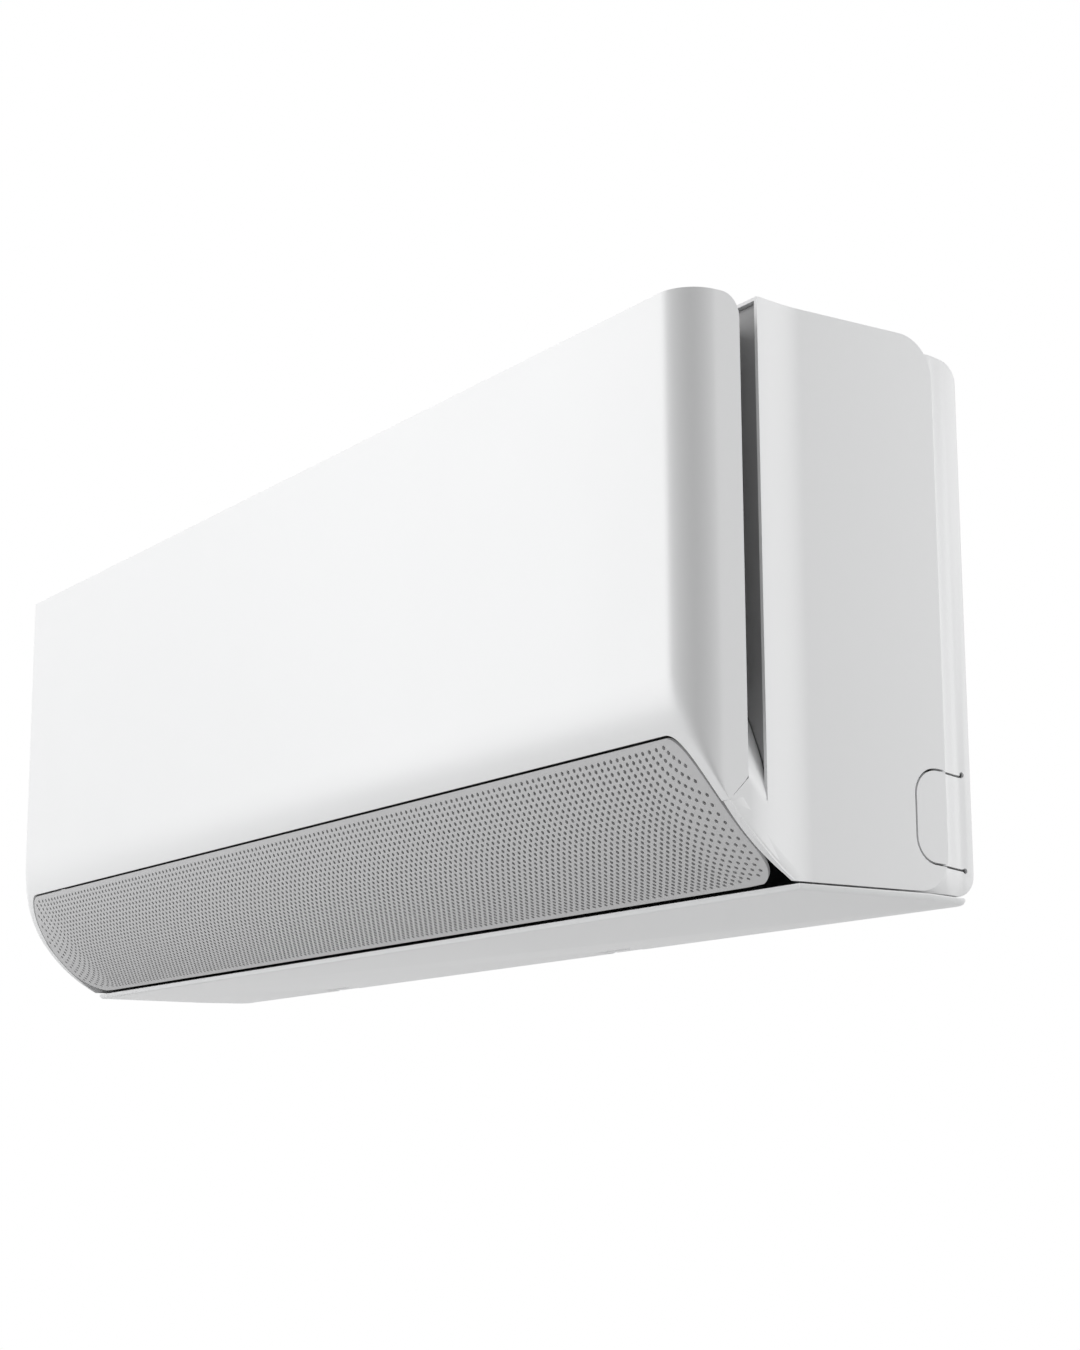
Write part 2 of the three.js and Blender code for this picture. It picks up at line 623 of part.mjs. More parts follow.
function topGrille() {
  const columns = 5;
  const rows = 7;
  const [x0, x1, y0, y1] = [-FRAME_HALF, FRAME_HALF, 58.5, 192];
  const top = REAR_TOP;
  let grille = box(x0, x1, y0, y1, top - 6, top);
  const wide = (x1 - x0 - 20) / columns;
  const deep = (y1 - y0 - 12) / rows;
  for (let i = 0; i < columns; i++) {
    for (let j = 0; j < rows; j++) {
      const x = x0 + 10 + i * wide;
      const y = y0 + 6 + j * deep;
      grille = grille.subtract(box(x + 3, x + wide - 3, y + 2, y + deep - 2, top - 7, top + 1));
    }
  }
  add('top_grille', grille, finish.inner);
}

function filters() {
  const y0 = 53.5;
  for (const [name, x0, x1] of [['filter_left', -430, -60], ['filter_right', -52, 304]]) {
    let frame = box(x0, x1, y0, y0 + 3, 112, 316);
    const columns = 3;
    const rows = 3;
    const wide = (x1 - x0 - 12) / columns;
    const tall = (316 - 112 - 12) / rows;
    for (let i = 0; i < columns; i++) {
      for (let j = 0; j < rows; j++) {
        const x = x0 + 6 + i * wide;
        const z = 118 + j * tall;
        const pocket = (a, b) => box(x + 2, x + wide - 2, a, b, z + 2, z + tall - 2);
        frame = cut(frame, pocket(y0 - 1, y0 + 1.1), pocket(y0 + 1.9, y0 + 5));
      }
    }
    const middle = (x0 + x1) / 2;
    add(name, frame.add(box(middle - 30, middle + 30, y0, y0 + 2.4, 315, 325)), finish.net);
  }
}

// ---------------------------------------------------------------- rear chassis and wall plate

// Inner face of the scroll, from behind the top of the fan round to the duct floor
function scrollLine() {
  const points = [];
  const steps = 14;
  for (let i = 0; i <= steps; i++) {
    const angle = 48 - (138 * i) / steps;
    const turn = Math.max(0, 8 - angle) / 98;
    const r = 50.5 + 13.5 * turn ** 1.5;
    const a = THREE.MathUtils.degToRad(angle);
    points.push([FAN.y + r * Math.cos(a), FAN.z + r * Math.sin(a)]);
  }
  points.push([FLOOR_FRONT[0] + 0.6, FLOOR_FRONT[1] + 0.8]);
  return points;
}

function rearChassis() {
  const line = scrollLine();
  const [x0, x1] = [DUCT_LEFT - DUCT_WALL, DUCT_RIGHT + DUCT_WALL];
  const scroll = alongX(strip(line, 2.4), x0, x1);
  const [sy, sz] = line[0];
  const lipTop = 206;
  const trough = join(box(x0, x1, sy - 2, sy + 1.4, sz - 1.5, lipTop), box(x0, x1, sy - 2, 206, 186, 188.4));
  let back = cut(box(-455, 455, 204.6, 207, 8, 318),
    ...HOOK_X.map((x) => box(x - 20, x + 20, 200, 210, 276, 288)));
  // Stiff rim round the back plate
  back = back.add(cut(box(-455, 455, 192.5, 206, 8, 318), box(-452.5, 452.5, 190, 207, 10.5, 315.5)));
  let chassis = join(scroll, trough, back);
  const wall = [
    [130, 60.6], [206, 60.6], [206, 205], [sy, 205], [sy, sz], [150, 172], [108, 150], [104.2, 106],
    [104.2, 39], [106, 39.8],
  ];
  const hole = 20; // round the fan's hub
  for (const x of [x0, DUCT_RIGHT]) {
    const side = alongX(wall, x, x + DUCT_WALL);
    chassis = chassis.add(cut(side, rod(FAN.y, FAN.z, hole, x - 1, x + DUCT_WALL + 1, 24)));
  }
  add('rear_chassis', chassis, finish.inner);
}

function mountingPlate() {
  let plate = box(-300, 300, 208.4, DEPTH, 60, 290);
  for (let i = 0; i < 5; i++) {
    for (const z of [84, 236]) {
      plate = plate.subtract(rodY(-270 + 135 * i, z, 2.6, 205, DEPTH + 1, 6));
    }
  }
  for (const x of HOOK_X) {
    plate = join(plate, box(x - 16, x + 16, 198, 209, 279, 281), box(x - 16, x + 16, 198, 199.6, 280, 286));
  }
  // Pressed ribs that stiffen the plate
  for (const z of [110, 160, 210]) {
    plate = plate.add(box(-285, 285, 207.4, 208.8, z - 4, z + 4));
  }
  add('mounting_plate', plate, finish.steel);
}

// ---------------------------------------------------------------- fan and motor

function crossFlowFan() {
  const blades = 16;
  const sections = 3;
  const [x0, x1] = [DUCT_LEFT + 8, DUCT_RIGHT - 8];
  let fan = null;
  for (let i = 0; i <= sections; i++) {
    const x = x0 + ((x1 - x0 - 2) * i) / sections;
    const disc = rod(FAN.y, FAN.z, FAN.r, x, x + 2, 24);
    fan = fan ? fan.add(disc) : disc;
  }
  const blade = [];
  for (let i = 0; i < blades; i++) {
    const a = (2 * Math.PI * i) / blades;
    const at = (r, turn) => [FAN.y + r * Math.cos(a + turn), FAN.z + r * Math.sin(a + turn)];
    blade.push(alongX([at(34, 0), at(44, 0.17), at(44, 0.22), at(34, 0.06)], x0 + 1, x1 - 1));
  }
  fan = join(fan, ...blade);
  // Stub in the left bearing, hub on the right
  fan = join(fan, rod(FAN.y, FAN.z, FAN.shaft, x0 - 18, x0 + 1), rod(FAN.y, FAN.z, 14, x1 - 12, x1 + 3, 20));
  add('cross_flow_fan', fan.subtract(rod(FAN.y, FAN.z, 4.3, x1 - 9, x1 + 5)), finish.dark);
}

function fanDrive() {
  const shaftStart = DUCT_RIGHT - 16;
  add('motor_shaft', rod(FAN.y, FAN.z, 4, shaftStart, 318, 16), finish.steel);
  const body = cut(join(rod(FAN.y, FAN.z, 39, 320, 378, 28), rod(FAN.y, FAN.z, 18, 312, 384, 20)),
    rod(FAN.y, FAN.z, 5, 310, 319, 16));
  add('fan_motor', body, finish.steel);
  const band = cut(rod(FAN.y, FAN.z, 42.5, 330, 366, 28), rod(FAN.y, FAN.z, 39.6, 329, 367, 28),
    box(320, 370, 60, FAN.y, 60, 200));
  const feet = [FAN.z + 41, FAN.z - 41].map((z) => box(330, 366, FAN.y, 204.2, z - 1.2, z + 1.2));
  add('motor_clamp', join(band, ...feet), finish.inner);
  const holder = cut(rod(FAN.y, FAN.z, 26, DUCT_LEFT - 12, DUCT_LEFT - 3.4, 24),
    rod(FAN.y, FAN.z, 14.4, DUCT_LEFT - 13, DUCT_LEFT, 20));
  add('bearing_holder', holder, finish.inner);
  const bush = cut(rod(FAN.y, FAN.z, 14, DUCT_LEFT - 12, DUCT_LEFT - 3.6, 20),
    rod(FAN.y, FAN.z, FAN.shaft + 0.4, DUCT_LEFT - 13, DUCT_LEFT, 16));
  add('fan_bearing', bush, finish.rubber);
}

// ---------------------------------------------------------------- evaporator and pipes

// Outline of a slab of fins between two points
function slab([a, b], thick, extra = 0) {
  const direction = new THREE.Vector2(b[0] - a[0], b[1] - a[1]).normalize();
  const at = (p, along, side) => [
    p[0] + direction.x * along - direction.y * side,
    p[1] + direction.y * along + direction.x * side,
  ];
  const t = thick / 2;
  return [at(a, -extra, t), at(a, -extra, -t), at(b, extra, -t), at(b, extra, t)];
}

function evaporator() {
  for (const [name, ends] of Object.entries(COILS)) {
    add(name, alongX(slab(ends, COIL_THICK), COIL_LEFT, COIL_RIGHT), finish.aluminium);
  }
  const plate = (x0, x1) => join(
    ...Object.values(COILS).map((ends) => alongX(slab(ends, COIL_THICK + 2, 1), x0, x1)),
    alongX([[64, 200], [84, 200], [84, 222], [66, 218]], x0, x1),
    alongX([[108, 282], [150, 278], [150, 290], [112, 294]], x0, x1));
  const leftEnd = join(plate(COIL_LEFT - 2, COIL_LEFT - GAP), ...tubeBends(COIL_LEFT - 1.5, -1));
  const rightEnd = join(plate(COIL_RIGHT + GAP, COIL_RIGHT + 2), ...tubeBends(COIL_RIGHT + 1.5, 1));
  add('evaporator_end_left', leftEnd, finish.steel);
  add('evaporator_end_right', rightEnd, finish.steel);
}

// Half-round tube bends that stand out of an end plate, two rows on each slab
function tubeBends(x, sign) {
  const bends = [];
  for (const [a, b] of Object.values(COILS)) {
    const length = Math.hypot(b[0] - a[0], b[1] - a[1]);
    const count = Math.floor(length / 42);
    for (let i = 0; i < count; i++) {
      const from = (0.5 + i) / count - 10 / length;
      const to = (0.5 + i) / count + 10 / length;
      const point = (t) => [a[0] + (b[0] - a[0]) * t, a[1] + (b[1] - a[1]) * t];
      const route = [];
      for (let k = 0; k <= 6; k++) {
        const turn = (Math.PI * k) / 6;
        const t = from + ((to - from) * (1 - Math.cos(turn))) / 2;
        route.push([x + sign * 9 * Math.sin(turn), ...point(t)]);
      }
      bends.push(pipe(route, 3.5, 4, 5));
    }
  }
  return bends;
}

function coilSensor() {
  const x = COIL_RIGHT + 2.4;
  const sensor = join(box(x, x + 4, 79, 83, 150, 172), box(x + 1, x + 6, 79.5, 82.5, 152, 158));
  add('coil_sensor', sensor, finish.copper);
}

function refrigerantPipes() {
  const lines = [
    ['gas', 4.8, 190, 44, 398],
    ['liquid', 3.2, 178, 24, 412],
  ];
  for (const [name, r, y, z, x] of lines) {
    const route = [
      [318, y, 226], [x - 20, y, 225], [x, y, 205], [x, y, 120], [x, y, z + 24], [x - 6, y, z + 5],
      [x - 24, y, z], [300, y, z], [100, y, z], [-150, y, z],
    ];
    add(`${name}_pipe`, pipe(route, r, 40, 6), finish.copper);
    const nut = cut(rod(y, z, r + 4, -176, -151, 6), rod(y, z, r - 0.8, -170, -150, 6));
    add(`${name}_flare_nut`, nut, finish.brass);
  }
  const sleeve = cut(rod(190, 44, 11, -120, 280, 16), rod(190, 44, 5.8, -125, 285, 12));
  add('pipe_insulation', sleeve, finish.foam);
}

// ---------------------------------------------------------------- drain

function drainPan() {
  const outer = [[57, 99.4], [88.5, 107.6], [88.5, 119], [57, 119]];
  const inner = [[58.6, 106], [72, 108.4], [86.8, 110.5], [86.8, 122], [58.6, 122]];
  const [x0, x1] = [-424, 312];
  const [y, z] = [73, 112]; // the spout's centre
  const pan = cut(alongX(outer, x0, x1), alongX(inner, x0 + 2, x1 - 2), rod(y, z, 3.6, x1 - 3, x1 + 1, 12));
  const spout = cut(rod(y, z, 5.5, x1 - 0.5, x1 + 22), rod(y, z, 3.6, x1 - 1, x1 + 23, 12));
  const plug = join(rod(y, z, 3.2, x1 + 16, x1 + 24, 12), rod(y, z, 5.5, x1 + 22.4, x1 + 27));
  add('drain_pan', join(pan, spout), finish.inner);
  add('drain_plug', plug, finish.rubber);
}

// ---------------------------------------------------------------- electrics and small motors

function electrics() {
  const [x0, x1, y0, y1, z0, z1] = [318, 436, 62, 168, 188, 312];
  const walls = cut(box(x0, x1, y0, y1, z0, z1), box(x0 + 2, x1 - 2, y0 - 1, y1 - 2, z0 + 2, z1 - 2));
  const rib = box(x0 + 3, x1 - 3, y0 - 1, y0 + 4, z0 + 3, z0 + 5);
  const lid = join(box(x0, x1, y0 - 2.4, y0 - GAP, z0, z1), rib);
  add('electrical_box', walls, finish.inner);
  add('electrical_box_lid', lid, finish.inner);
  const parts = [
    box(x0 + 6, x1 - 6, y1 - 8, y1 - 6, z0 + 6, z1 - 6),
    box(340, 368, 128, 161, 272, 300), // relay
    box(390, 424, 132, 161, 220, 250), // transformer
    box(336, 344, 140, 161, 200, 250), // capacitor
  ];
  add('control_board', join(...parts), finish.board);
  add('terminal_block', join(box(394, 430, 70, 98, 191, 203), ...[400, 412, 424].map((x) =>
    box(x - 3.5, x + 3.5, 74, 94, 202, 206))), finish.dark);
}

function stepper(name, x, y, z, r, length, shaft) {
  const can = rod(y, z, r, x, x + length, 20);
  const lug = box(x, x + 1.5, y - 3, y + 3, z, z + r + 5);
  add(name, join(can, lug, rod(y, z, 1.8, x - shaft, x + 1, 8)), finish.steel);
}

function stepperMotors() {
  stepper('vane_motor', 414, VANE.pivotY, VANE.pivotZ, 13, 19, 1);
  stepper('louver_motor', 312, LOUVER.y, LOUVER.z, 12, 18, 2);
}

function swingMotor() {
  const can = rodZ(330, 140, 12, 14, 32);
  add('swing_motor', join(can, box(312, 348, 136, 144, 30.5, 32), rodZ(330, 140, 2, 31, 37)), finish.steel);
}

// A round bar along Z
function rodZ(x, y, r, z0, z1, sides = 16) {
  const geometry = new THREE.CylinderGeometry(r, r, z1 - z0, sides).rotateX(Math.PI / 2);
  return solid(geometry.translate(x, y, (z0 + z1) / 2));
}

function caseScrews() {
  SCREW_X.forEach((x, i) => {
    const y = BODY_FRONT - GAP;
    const screw = join(rodY(x, SCREW_Z, 4, y - 2.2, y, 12), rodY(x, SCREW_Z, 1.9, y - 0.5, y + 5, 8));
    add(`case_screw_${i + 1}`, cut(screw, box(x - 3, x + 3, y - 3, y - 1.4, SCREW_Z - 0.5, SCREW_Z + 0.5)),
      finish.steel);
  });
}

// ---------------------------------------------------------------- assembly

frontPanel();
perforatedVane();
innerLouver();
swingGang('left');
swingGang('right');
sideCover();
slotLiner();
bottomCover();
releaseClips();
outletFrame();
frontFrame();
manualButton();
displayBoard();
topGrille();
filters();
rearChassis();
mountingPlate();
crossFlowFan();
fanDrive();
evaporator();
coilSensor();
refrigerantPipes();
drainPan();
electrics();
stepperMotors();
swingMotor();
caseScrews();

const part = new THREE.Group();
part.add(unit);

export default part;
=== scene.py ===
# %% [markdown]
# # A wall-hung air conditioner, dressed in Blender
# The CAD model gives every solid its place and its motion. This script keeps the solids whose
# shape is right, and models smooth shells over those that are only faceted there: the front
# panel, the two side covers, the perforated vane and the bottom cover. Then it lights the object.

import json
import math

import bmesh
import bpy
from mathutils import Matrix, Vector


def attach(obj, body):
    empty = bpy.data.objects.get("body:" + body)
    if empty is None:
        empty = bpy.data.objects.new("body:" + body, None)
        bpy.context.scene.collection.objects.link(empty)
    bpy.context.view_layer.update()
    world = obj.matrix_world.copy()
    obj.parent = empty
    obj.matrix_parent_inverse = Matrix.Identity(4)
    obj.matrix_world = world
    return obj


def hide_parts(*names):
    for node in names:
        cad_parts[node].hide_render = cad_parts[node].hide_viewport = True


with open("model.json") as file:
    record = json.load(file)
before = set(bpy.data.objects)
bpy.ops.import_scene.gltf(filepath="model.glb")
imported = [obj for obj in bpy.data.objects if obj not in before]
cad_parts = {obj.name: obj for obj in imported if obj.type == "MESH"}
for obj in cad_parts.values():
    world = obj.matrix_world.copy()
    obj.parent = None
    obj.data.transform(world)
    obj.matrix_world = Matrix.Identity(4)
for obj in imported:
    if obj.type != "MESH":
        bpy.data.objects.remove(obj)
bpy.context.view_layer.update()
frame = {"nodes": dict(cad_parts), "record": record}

# %% [markdown]
# ## The case frame
# The shells are drawn in millimetres from the middle of the unit's front, underside at zero.
# One matrix then brings a finished mesh into the shared frame in metres, so the drawing can use
# the numbers that a maker would write on it.

# %% From case millimetres to the shared frame
DEPTH = 210
PLATE_CENTRE = 175
CASE = Matrix.Translation((0, -DEPTH / 1000, -PLATE_CENTRE / 1000)) @ Matrix.Scale(0.001, 4)
HALF = 470
HEIGHT = 330
WALL = 2.6


SHARP = 32  # degrees: edges turned by more than this stay crisp


def linked(name, bm):
    """Turns a bmesh into an object in the scene."""
    mesh = bpy.data.meshes.new(name)
    bm.to_mesh(mesh)
    bm.free()
    made = bpy.data.objects.new(name, mesh)
    bpy.context.scene.collection.objects.link(made)
    return made


def place(name, bm, body, material, sharp=SHARP):
    """Turns a finished bmesh, drawn in case millimetres, into a piece that rides on a body."""
    bmesh.ops.transform(bm, matrix=CASE, verts=bm.verts)
    for face in bm.faces:
        face.smooth = True
    piece = linked(name, bm)
    mesh = piece.data
    mesh.set_sharp_from_angle(angle=math.radians(sharp))
    mesh.materials.append(material)
    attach(piece, body)
    print(name, len(mesh.polygons), "faces")
    return piece


def even_normals(piece):
    """Lets the big flat faces rule the shading, so that cuts near a bend don't show."""
    piece.modifiers.new("even normals", "WEIGHTED_NORMAL").keep_sharp = True


# %% [markdown]
# ## The camera
# The unit is seen from low on its right, so the flat front runs away to the left and the
# underside just shows. The angles come from fitting the outline of the solids to the photograph.

# %% Camera
EYE = Vector((1.51188, -0.99290, -0.33145))
YAW, PITCH, ROLL = -0.9872, 0.2018, -0.0038
look = Vector((math.sin(YAW) * math.cos(PITCH), math.cos(YAW) * math.cos(PITCH), math.sin(PITCH)))
level = look.cross(Vector((0, 0, 1))).normalized()
upright = level.cross(look)
right = math.cos(ROLL) * level + math.sin(ROLL) * upright
up = -math.sin(ROLL) * level + math.cos(ROLL) * upright

camera = bpy.data.objects.new("camera", bpy.data.cameras.new("camera"))
bpy.context.scene.collection.objects.link(camera)
camera.data.sensor_width = 36
camera.data.lens = 66.65
camera.matrix_world = Matrix.Translation(EYE) @ Matrix((right, up, -look)).transposed().to_4x4()
bpy.context.scene.camera = camera
bpy.context.scene.view_settings.view_transform = "Standard"
print("camera at", tuple(round(v, 3) for v in EYE))

# %% [markdown]
# ## Moulded plastic
# Moulded parts are never one flat colour: the tool leaves a very fine grain, and the tone and
# the gloss drift a little over the surface. One node group makes the three, and each plastic
# uses it with its own values. The shader's steady numbers stay on its own sockets.


# %% Grain shared by the plastics
def group(name, inputs, outputs):
    tree = bpy.data.node_groups.new(name, "ShaderNodeTree")
    for title, kind in outputs:
        tree.interface.new_socket(title, in_out="OUTPUT", socket_type=kind)
    for title, kind, value in inputs:
        tree.interface.new_socket(title, in_out="INPUT", socket_type=kind).default_value = value
    return tree, tree.nodes.new("NodeGroupInput"), tree.nodes.new("NodeGroupOutput")


def node(tree, kind, links=(), **values):
    made = tree.nodes.new(kind)
    for key, value in values.items():
        if hasattr(made, key):
            setattr(made, key, value)
        else:
            made.inputs[key.replace("_", " ")].default_value = value
    for source, target in links:
        tree.links.new(source, made.inputs[target])
    return made


def moulded_grain():
    tree, start, end = group(
        "moulded grain",
        [("Color", "NodeSocketColor", (1, 1, 1, 1)), ("Drift", "NodeSocketFloat", 0.02),
         ("Roughness", "NodeSocketFloat", 0.4), ("Grain Size", "NodeSocketFloat", 0.0006),
         ("Grain Depth", "NodeSocketFloat", 0.05)],
        [("Color", "NodeSocketColor"), ("Roughness", "NodeSocketFloat"), ("Normal", "NodeSocketVector")])
    place_on = node(tree, "ShaderNodeTexCoord")
    cloud = node(tree, "ShaderNodeTexNoise", [(place_on.outputs["Object"], "Vector")], Scale=6.0, Detail=3.0)
    centred = node(tree, "ShaderNodeMath", [(cloud.outputs["Fac"], 0)], operation="SUBTRACT")
    centred.inputs[1].default_value = 0.5
    tone = node(tree, "ShaderNodeMath", [(centred.outputs[0], 0), (start.outputs["Drift"], 1)],
                operation="MULTIPLY")
    value = node(tree, "ShaderNodeMath", [(tone.outputs[0], 0)], operation="ADD")
    value.inputs[1].default_value = 1.0
    shade = node(tree, "ShaderNodeVectorMath", [(start.outputs["Color"], 0), (value.outputs[0], "Scale")],
                 operation="SCALE")
    gloss = node(tree, "ShaderNodeMath",
                 [(centred.outputs[0], 0), (start.outputs["Roughness"], 2)], operation="MULTIPLY_ADD")
    gloss.inputs[1].default_value = 0.08
    size = node(tree, "ShaderNodeMath", [(start.outputs["Grain Size"], 1)], operation="DIVIDE")
    size.inputs[0].default_value = 1.0
    pits = node(tree, "ShaderNodeTexNoise",
                [(place_on.outputs["Object"], "Vector"), (size.outputs[0], "Scale")], Detail=2.0)
    bump = node(tree, "ShaderNodeBump",
                [(pits.outputs["Fac"], "Height"), (start.outputs["Grain Depth"], "Strength")],
                Distance=0.0001)
    tree.links.new(shade.outputs[0], end.inputs["Color"])
    tree.links.new(gloss.outputs[0], end.inputs["Roughness"])
    tree.links.new(bump.outputs[0], end.inputs["Normal"])
    return tree


GRAIN = moulded_grain()
print("group", GRAIN.name)


# %% Plastics
def shader(name, **steady):
    material = bpy.data.materials.new(name)
    material.use_nodes = True
    principled = material.node_tree.nodes["Principled BSDF"]
    for key, value in steady.items():
        principled.inputs[key.replace("_", " ")].default_value = value
    return material, material.node_tree, principled


def plastic(name, color, roughness, drift=0.02, size=0.0006, depth=0.05, **steady):
    material, tree, principled = shader(name, **steady)
    grain = node(tree, "ShaderNodeGroup", node_tree=GRAIN)
    for key, value in {"Color": (*color, 1), "Drift": drift, "Roughness": roughness,
                       "Grain Size": size, "Grain Depth": depth}.items():
        grain.inputs[key].default_value = value
    tree.links.new(grain.outputs["Color"], principled.inputs["Base Color"])
    tree.links.new(grain.outputs["Roughness"], principled.inputs["Roughness"])
    tree.links.new(grain.outputs["Normal"], principled.inputs["Normal"])
    return material


FINISH = {
    "white_plastic": plastic("satin white", (0.86, 0.865, 0.87), 0.34),
    "vane_plastic": plastic("vane white", (0.57, 0.57, 0.575), 0.42),
    "inner_plastic": plastic("plain white", (0.6, 0.61, 0.62), 0.5, drift=0.05),
    # The duct and the louver behind the vane are near-black: painted shade, standing in for the shaded
    # cavity seen through the vane's holes.
    "duct_plastic": plastic("duct painted shade", (0.033, 0.034, 0.036), 0.55, drift=0.06),
    # The slot's liner is mid grey: painted shade for the deep, unlit inside of the slot.
    "grey_plastic": plastic("slot painted shade grey", (0.4, 0.4, 0.404), 0.55, drift=0.06),
    "dark_plastic": plastic("fan black", (0.02, 0.021, 0.023), 0.5, drift=0.1),
    "filter_net": plastic("net grey", (0.1, 0.11, 0.12), 0.7, drift=0.1),
    "fin_aluminium": plastic("fin metal", (0.6, 0.62, 0.64), 0.35, drift=0.06, Metallic=1.0),
    "zinc_steel": plastic("zinc plate", (0.5, 0.51, 0.52), 0.38, drift=0.12, Metallic=1.0),
    "copper": plastic("drawn copper", (0.62, 0.27, 0.15), 0.3, drift=0.1, Metallic=1.0),
    "brass": plastic("turned brass", (0.62, 0.42, 0.15), 0.3, drift=0.08, Metallic=1.0),
    "rubber": plastic("black rubber", (0.015, 0.015, 0.015), 0.8, drift=0.2),
    "foam": plastic("foam sleeve", (0.7, 0.7, 0.66), 0.9, drift=0.1, size=0.003, depth=0.4),
    "circuit_board": plastic("green board", (0.02, 0.09, 0.035), 0.4, drift=0.2),
}
for part in frame["record"]["subparts"]:
    mesh = frame["nodes"][part["node"]].data
    mesh.materials.clear()
    mesh.materials.append(FINISH[part["material_slot"]])
print("finishes", len(FINISH))

# %% [markdown]
# ## Drawing a shell
# A moulded shell is a sheet of even thickness. So each one starts flat: its outline is one face,
# cut by straight lines where the sheet will bend, then bent over the form, given its thickness
# and a small bevel along its edges. The cuts keep the big flat areas as single clean faces.


# %% Sheet tools
def sheet(outline):
    bm = bmesh.new()
    bm.faces.new([bm.verts.new((u, 0, v)) for u, v in outline])
    return bm


def slice_at(bm, axis, places):
    """Cuts the sheet by planes square to an axis."""
    normal = Vector((0, 0, 0))
    normal[axis] = 1
    for at in places:
        geom = bm.verts[:] + bm.edges[:] + bm.faces[:]
        bmesh.ops.bisect_plane(bm, geom=geom, dist=1e-4, plane_co=normal * at, plane_no=normal)


def corners_in(geom):
    return [g for g in geom if isinstance(g, bmesh.types.BMVert)]


def steps(start, stop, count):
    return [start + (stop - start) * i / count for i in range(count + 1)]


def ellipse(cu, cv, ru, rv, start, stop, count=12):
    turns = [math.radians(a) for a in steps(start, stop, count)]
    return [(cu + ru * math.cos(a), cv + rv * math.sin(a)) for a in turns]


def smooth_max(a, b, k):
    h = max(k - abs(a - b), 0) / k
    return max(a, b) + h * h * k / 4


def thicken(bm, wall, bevel=0.5, segments=2):
    """Gives a bent sheet its wall, inwards, and softens the edges."""
    bmesh.ops.remove_doubles(bm, verts=bm.verts, dist=0.01)
    bm.normal_update()
    bmesh.ops.solidify(bm, geom=bm.faces[:], thickness=wall)
    bm.normal_update()
    rim = [e for e in bm.edges if e.is_manifold and e.calc_face_angle(0) > math.radians(50)]
    bmesh.ops.bevel(bm, geom=rim, offset=bevel, affect="EDGES", segments=segments, profile=0.5,
                    material=-1, clamp_overlap=True)
    return bm


ARC_Y, ARC_Z, ARC_R = 143, 134, 147.5


def arc_y(z):
    return ARC_Y - math.sqrt(ARC_R ** 2 - (z - ARC_Z) ** 2)


print("round lower front starts at z", round(ARC_Z - math.sqrt(ARC_R ** 2 - ARC_Y ** 2), 1))

# %% [markdown]
# ## The front panel
# One moulding makes the flat front, both upright corners and the short sides. Its lower edge is
# an arch over the vane, with long round ends. Unrolled, it is a flat sheet, so the outline is
# drawn flat for one half, mirrored, and rolled round the corner radius.

# %% Front panel
CORNER = 22
SIDE_START = HALF - CORNER + CORNER * math.pi / 2
PANEL_BACK = 38.8
PANEL_LIP = 26.8  # how far the top edge turns back
PANEL_TOP_CORNER = (12, 13)
SEAM_LOW = 44.7  # lowest point of the panel's side, above the cheek
VANE_GAP = 1.5
VANE_TOP, VANE_BOTTOM = 80, 5
VANE_CORNER = (439, 30, 23.5, 50)  # middle x and z, and half sizes, of the long upper corner
ARCH_END = 15.3  # degrees of that corner that the cheek covers


def unroll(x):
    return x if x <= HALF - CORNER else HALF - CORNER + CORNER * math.asin((x - HALF + CORNER) / CORNER)


def roll(s):
    """Plan position of a point at distance s along the panel from the middle."""
    if s <= HALF - CORNER:
        return s, 0.0
    if s <= SIDE_START:
        turn = (s - HALF + CORNER) / CORNER
        return HALF - CORNER + CORNER * math.sin(turn), CORNER * (1 - math.cos(turn))
    return HALF, CORNER + s - SIDE_START


def panel_outline():
    x, z, rx, rz = VANE_CORNER
    arch = [(unroll(u), v) for u, v in ellipse(x + VANE_GAP, z + VANE_GAP, rx, rz, 90, ARCH_END, 24)]
    side = SIDE_START + PANEL_BACK - CORNER
    seam = [(SIDE_START, SEAM_LOW), (SIDE_START + 3.6, SEAM_LOW), (side - 2, 56), (side, 59)]
    ry, rz = PANEL_TOP_CORNER
    return [(0, VANE_TOP + VANE_GAP), *arch, *seam,
            *ellipse(side - ry, HEIGHT - rz, ry, rz, 0, 90, 8), (0, HEIGHT)]


def front_panel():
    """Flat at the top, round at the bottom, with the two eased into each other over 5 mm."""
    bm = sheet(panel_outline())
    slice_at(bm, 0, steps(HALF - CORNER - 8, SIDE_START + 2, 30))
    slice_at(bm, 2, steps(46, 112, 33))
    for vert in bm.verts:
        s, _, z = vert.co
        x, y = roll(s)
        low = arc_y(z) if z < ARC_Z - 4 else -5
        vert.co = (x, smooth_max(y, low, 5), z)
    top = [e for e in bm.edges if e.is_boundary and all(v.co.z > HEIGHT - 0.01 for v in e.verts)]
    lip = bmesh.ops.extrude_edge_only(bm, edges=top)["geom"]
    for vert in corners_in(lip):
        vert.co.y = PANEL_LIP
    geom = bm.verts[:] + bm.edges[:] + bm.faces[:]
    bmesh.ops.mirror(bm, geom=geom, axis="X", merge_dist=0.01)
    bmesh.ops.remove_doubles(bm, verts=bm.verts, dist=0.01)
    bmesh.ops.recalc_face_normals(bm, faces=bm.faces)
    return thicken(bm, WALL)


panel = place("panel_shell", front_panel(), "front_panel", FINISH["white_plastic"])
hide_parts("front_panel")
even_normals(panel)

# %% [markdown]
# ## The panel's arms
# Two short arms hang the panel on the frame. Each is a plate that ends round its pivot, drawn as
# an outline and extruded, with a round peg added.


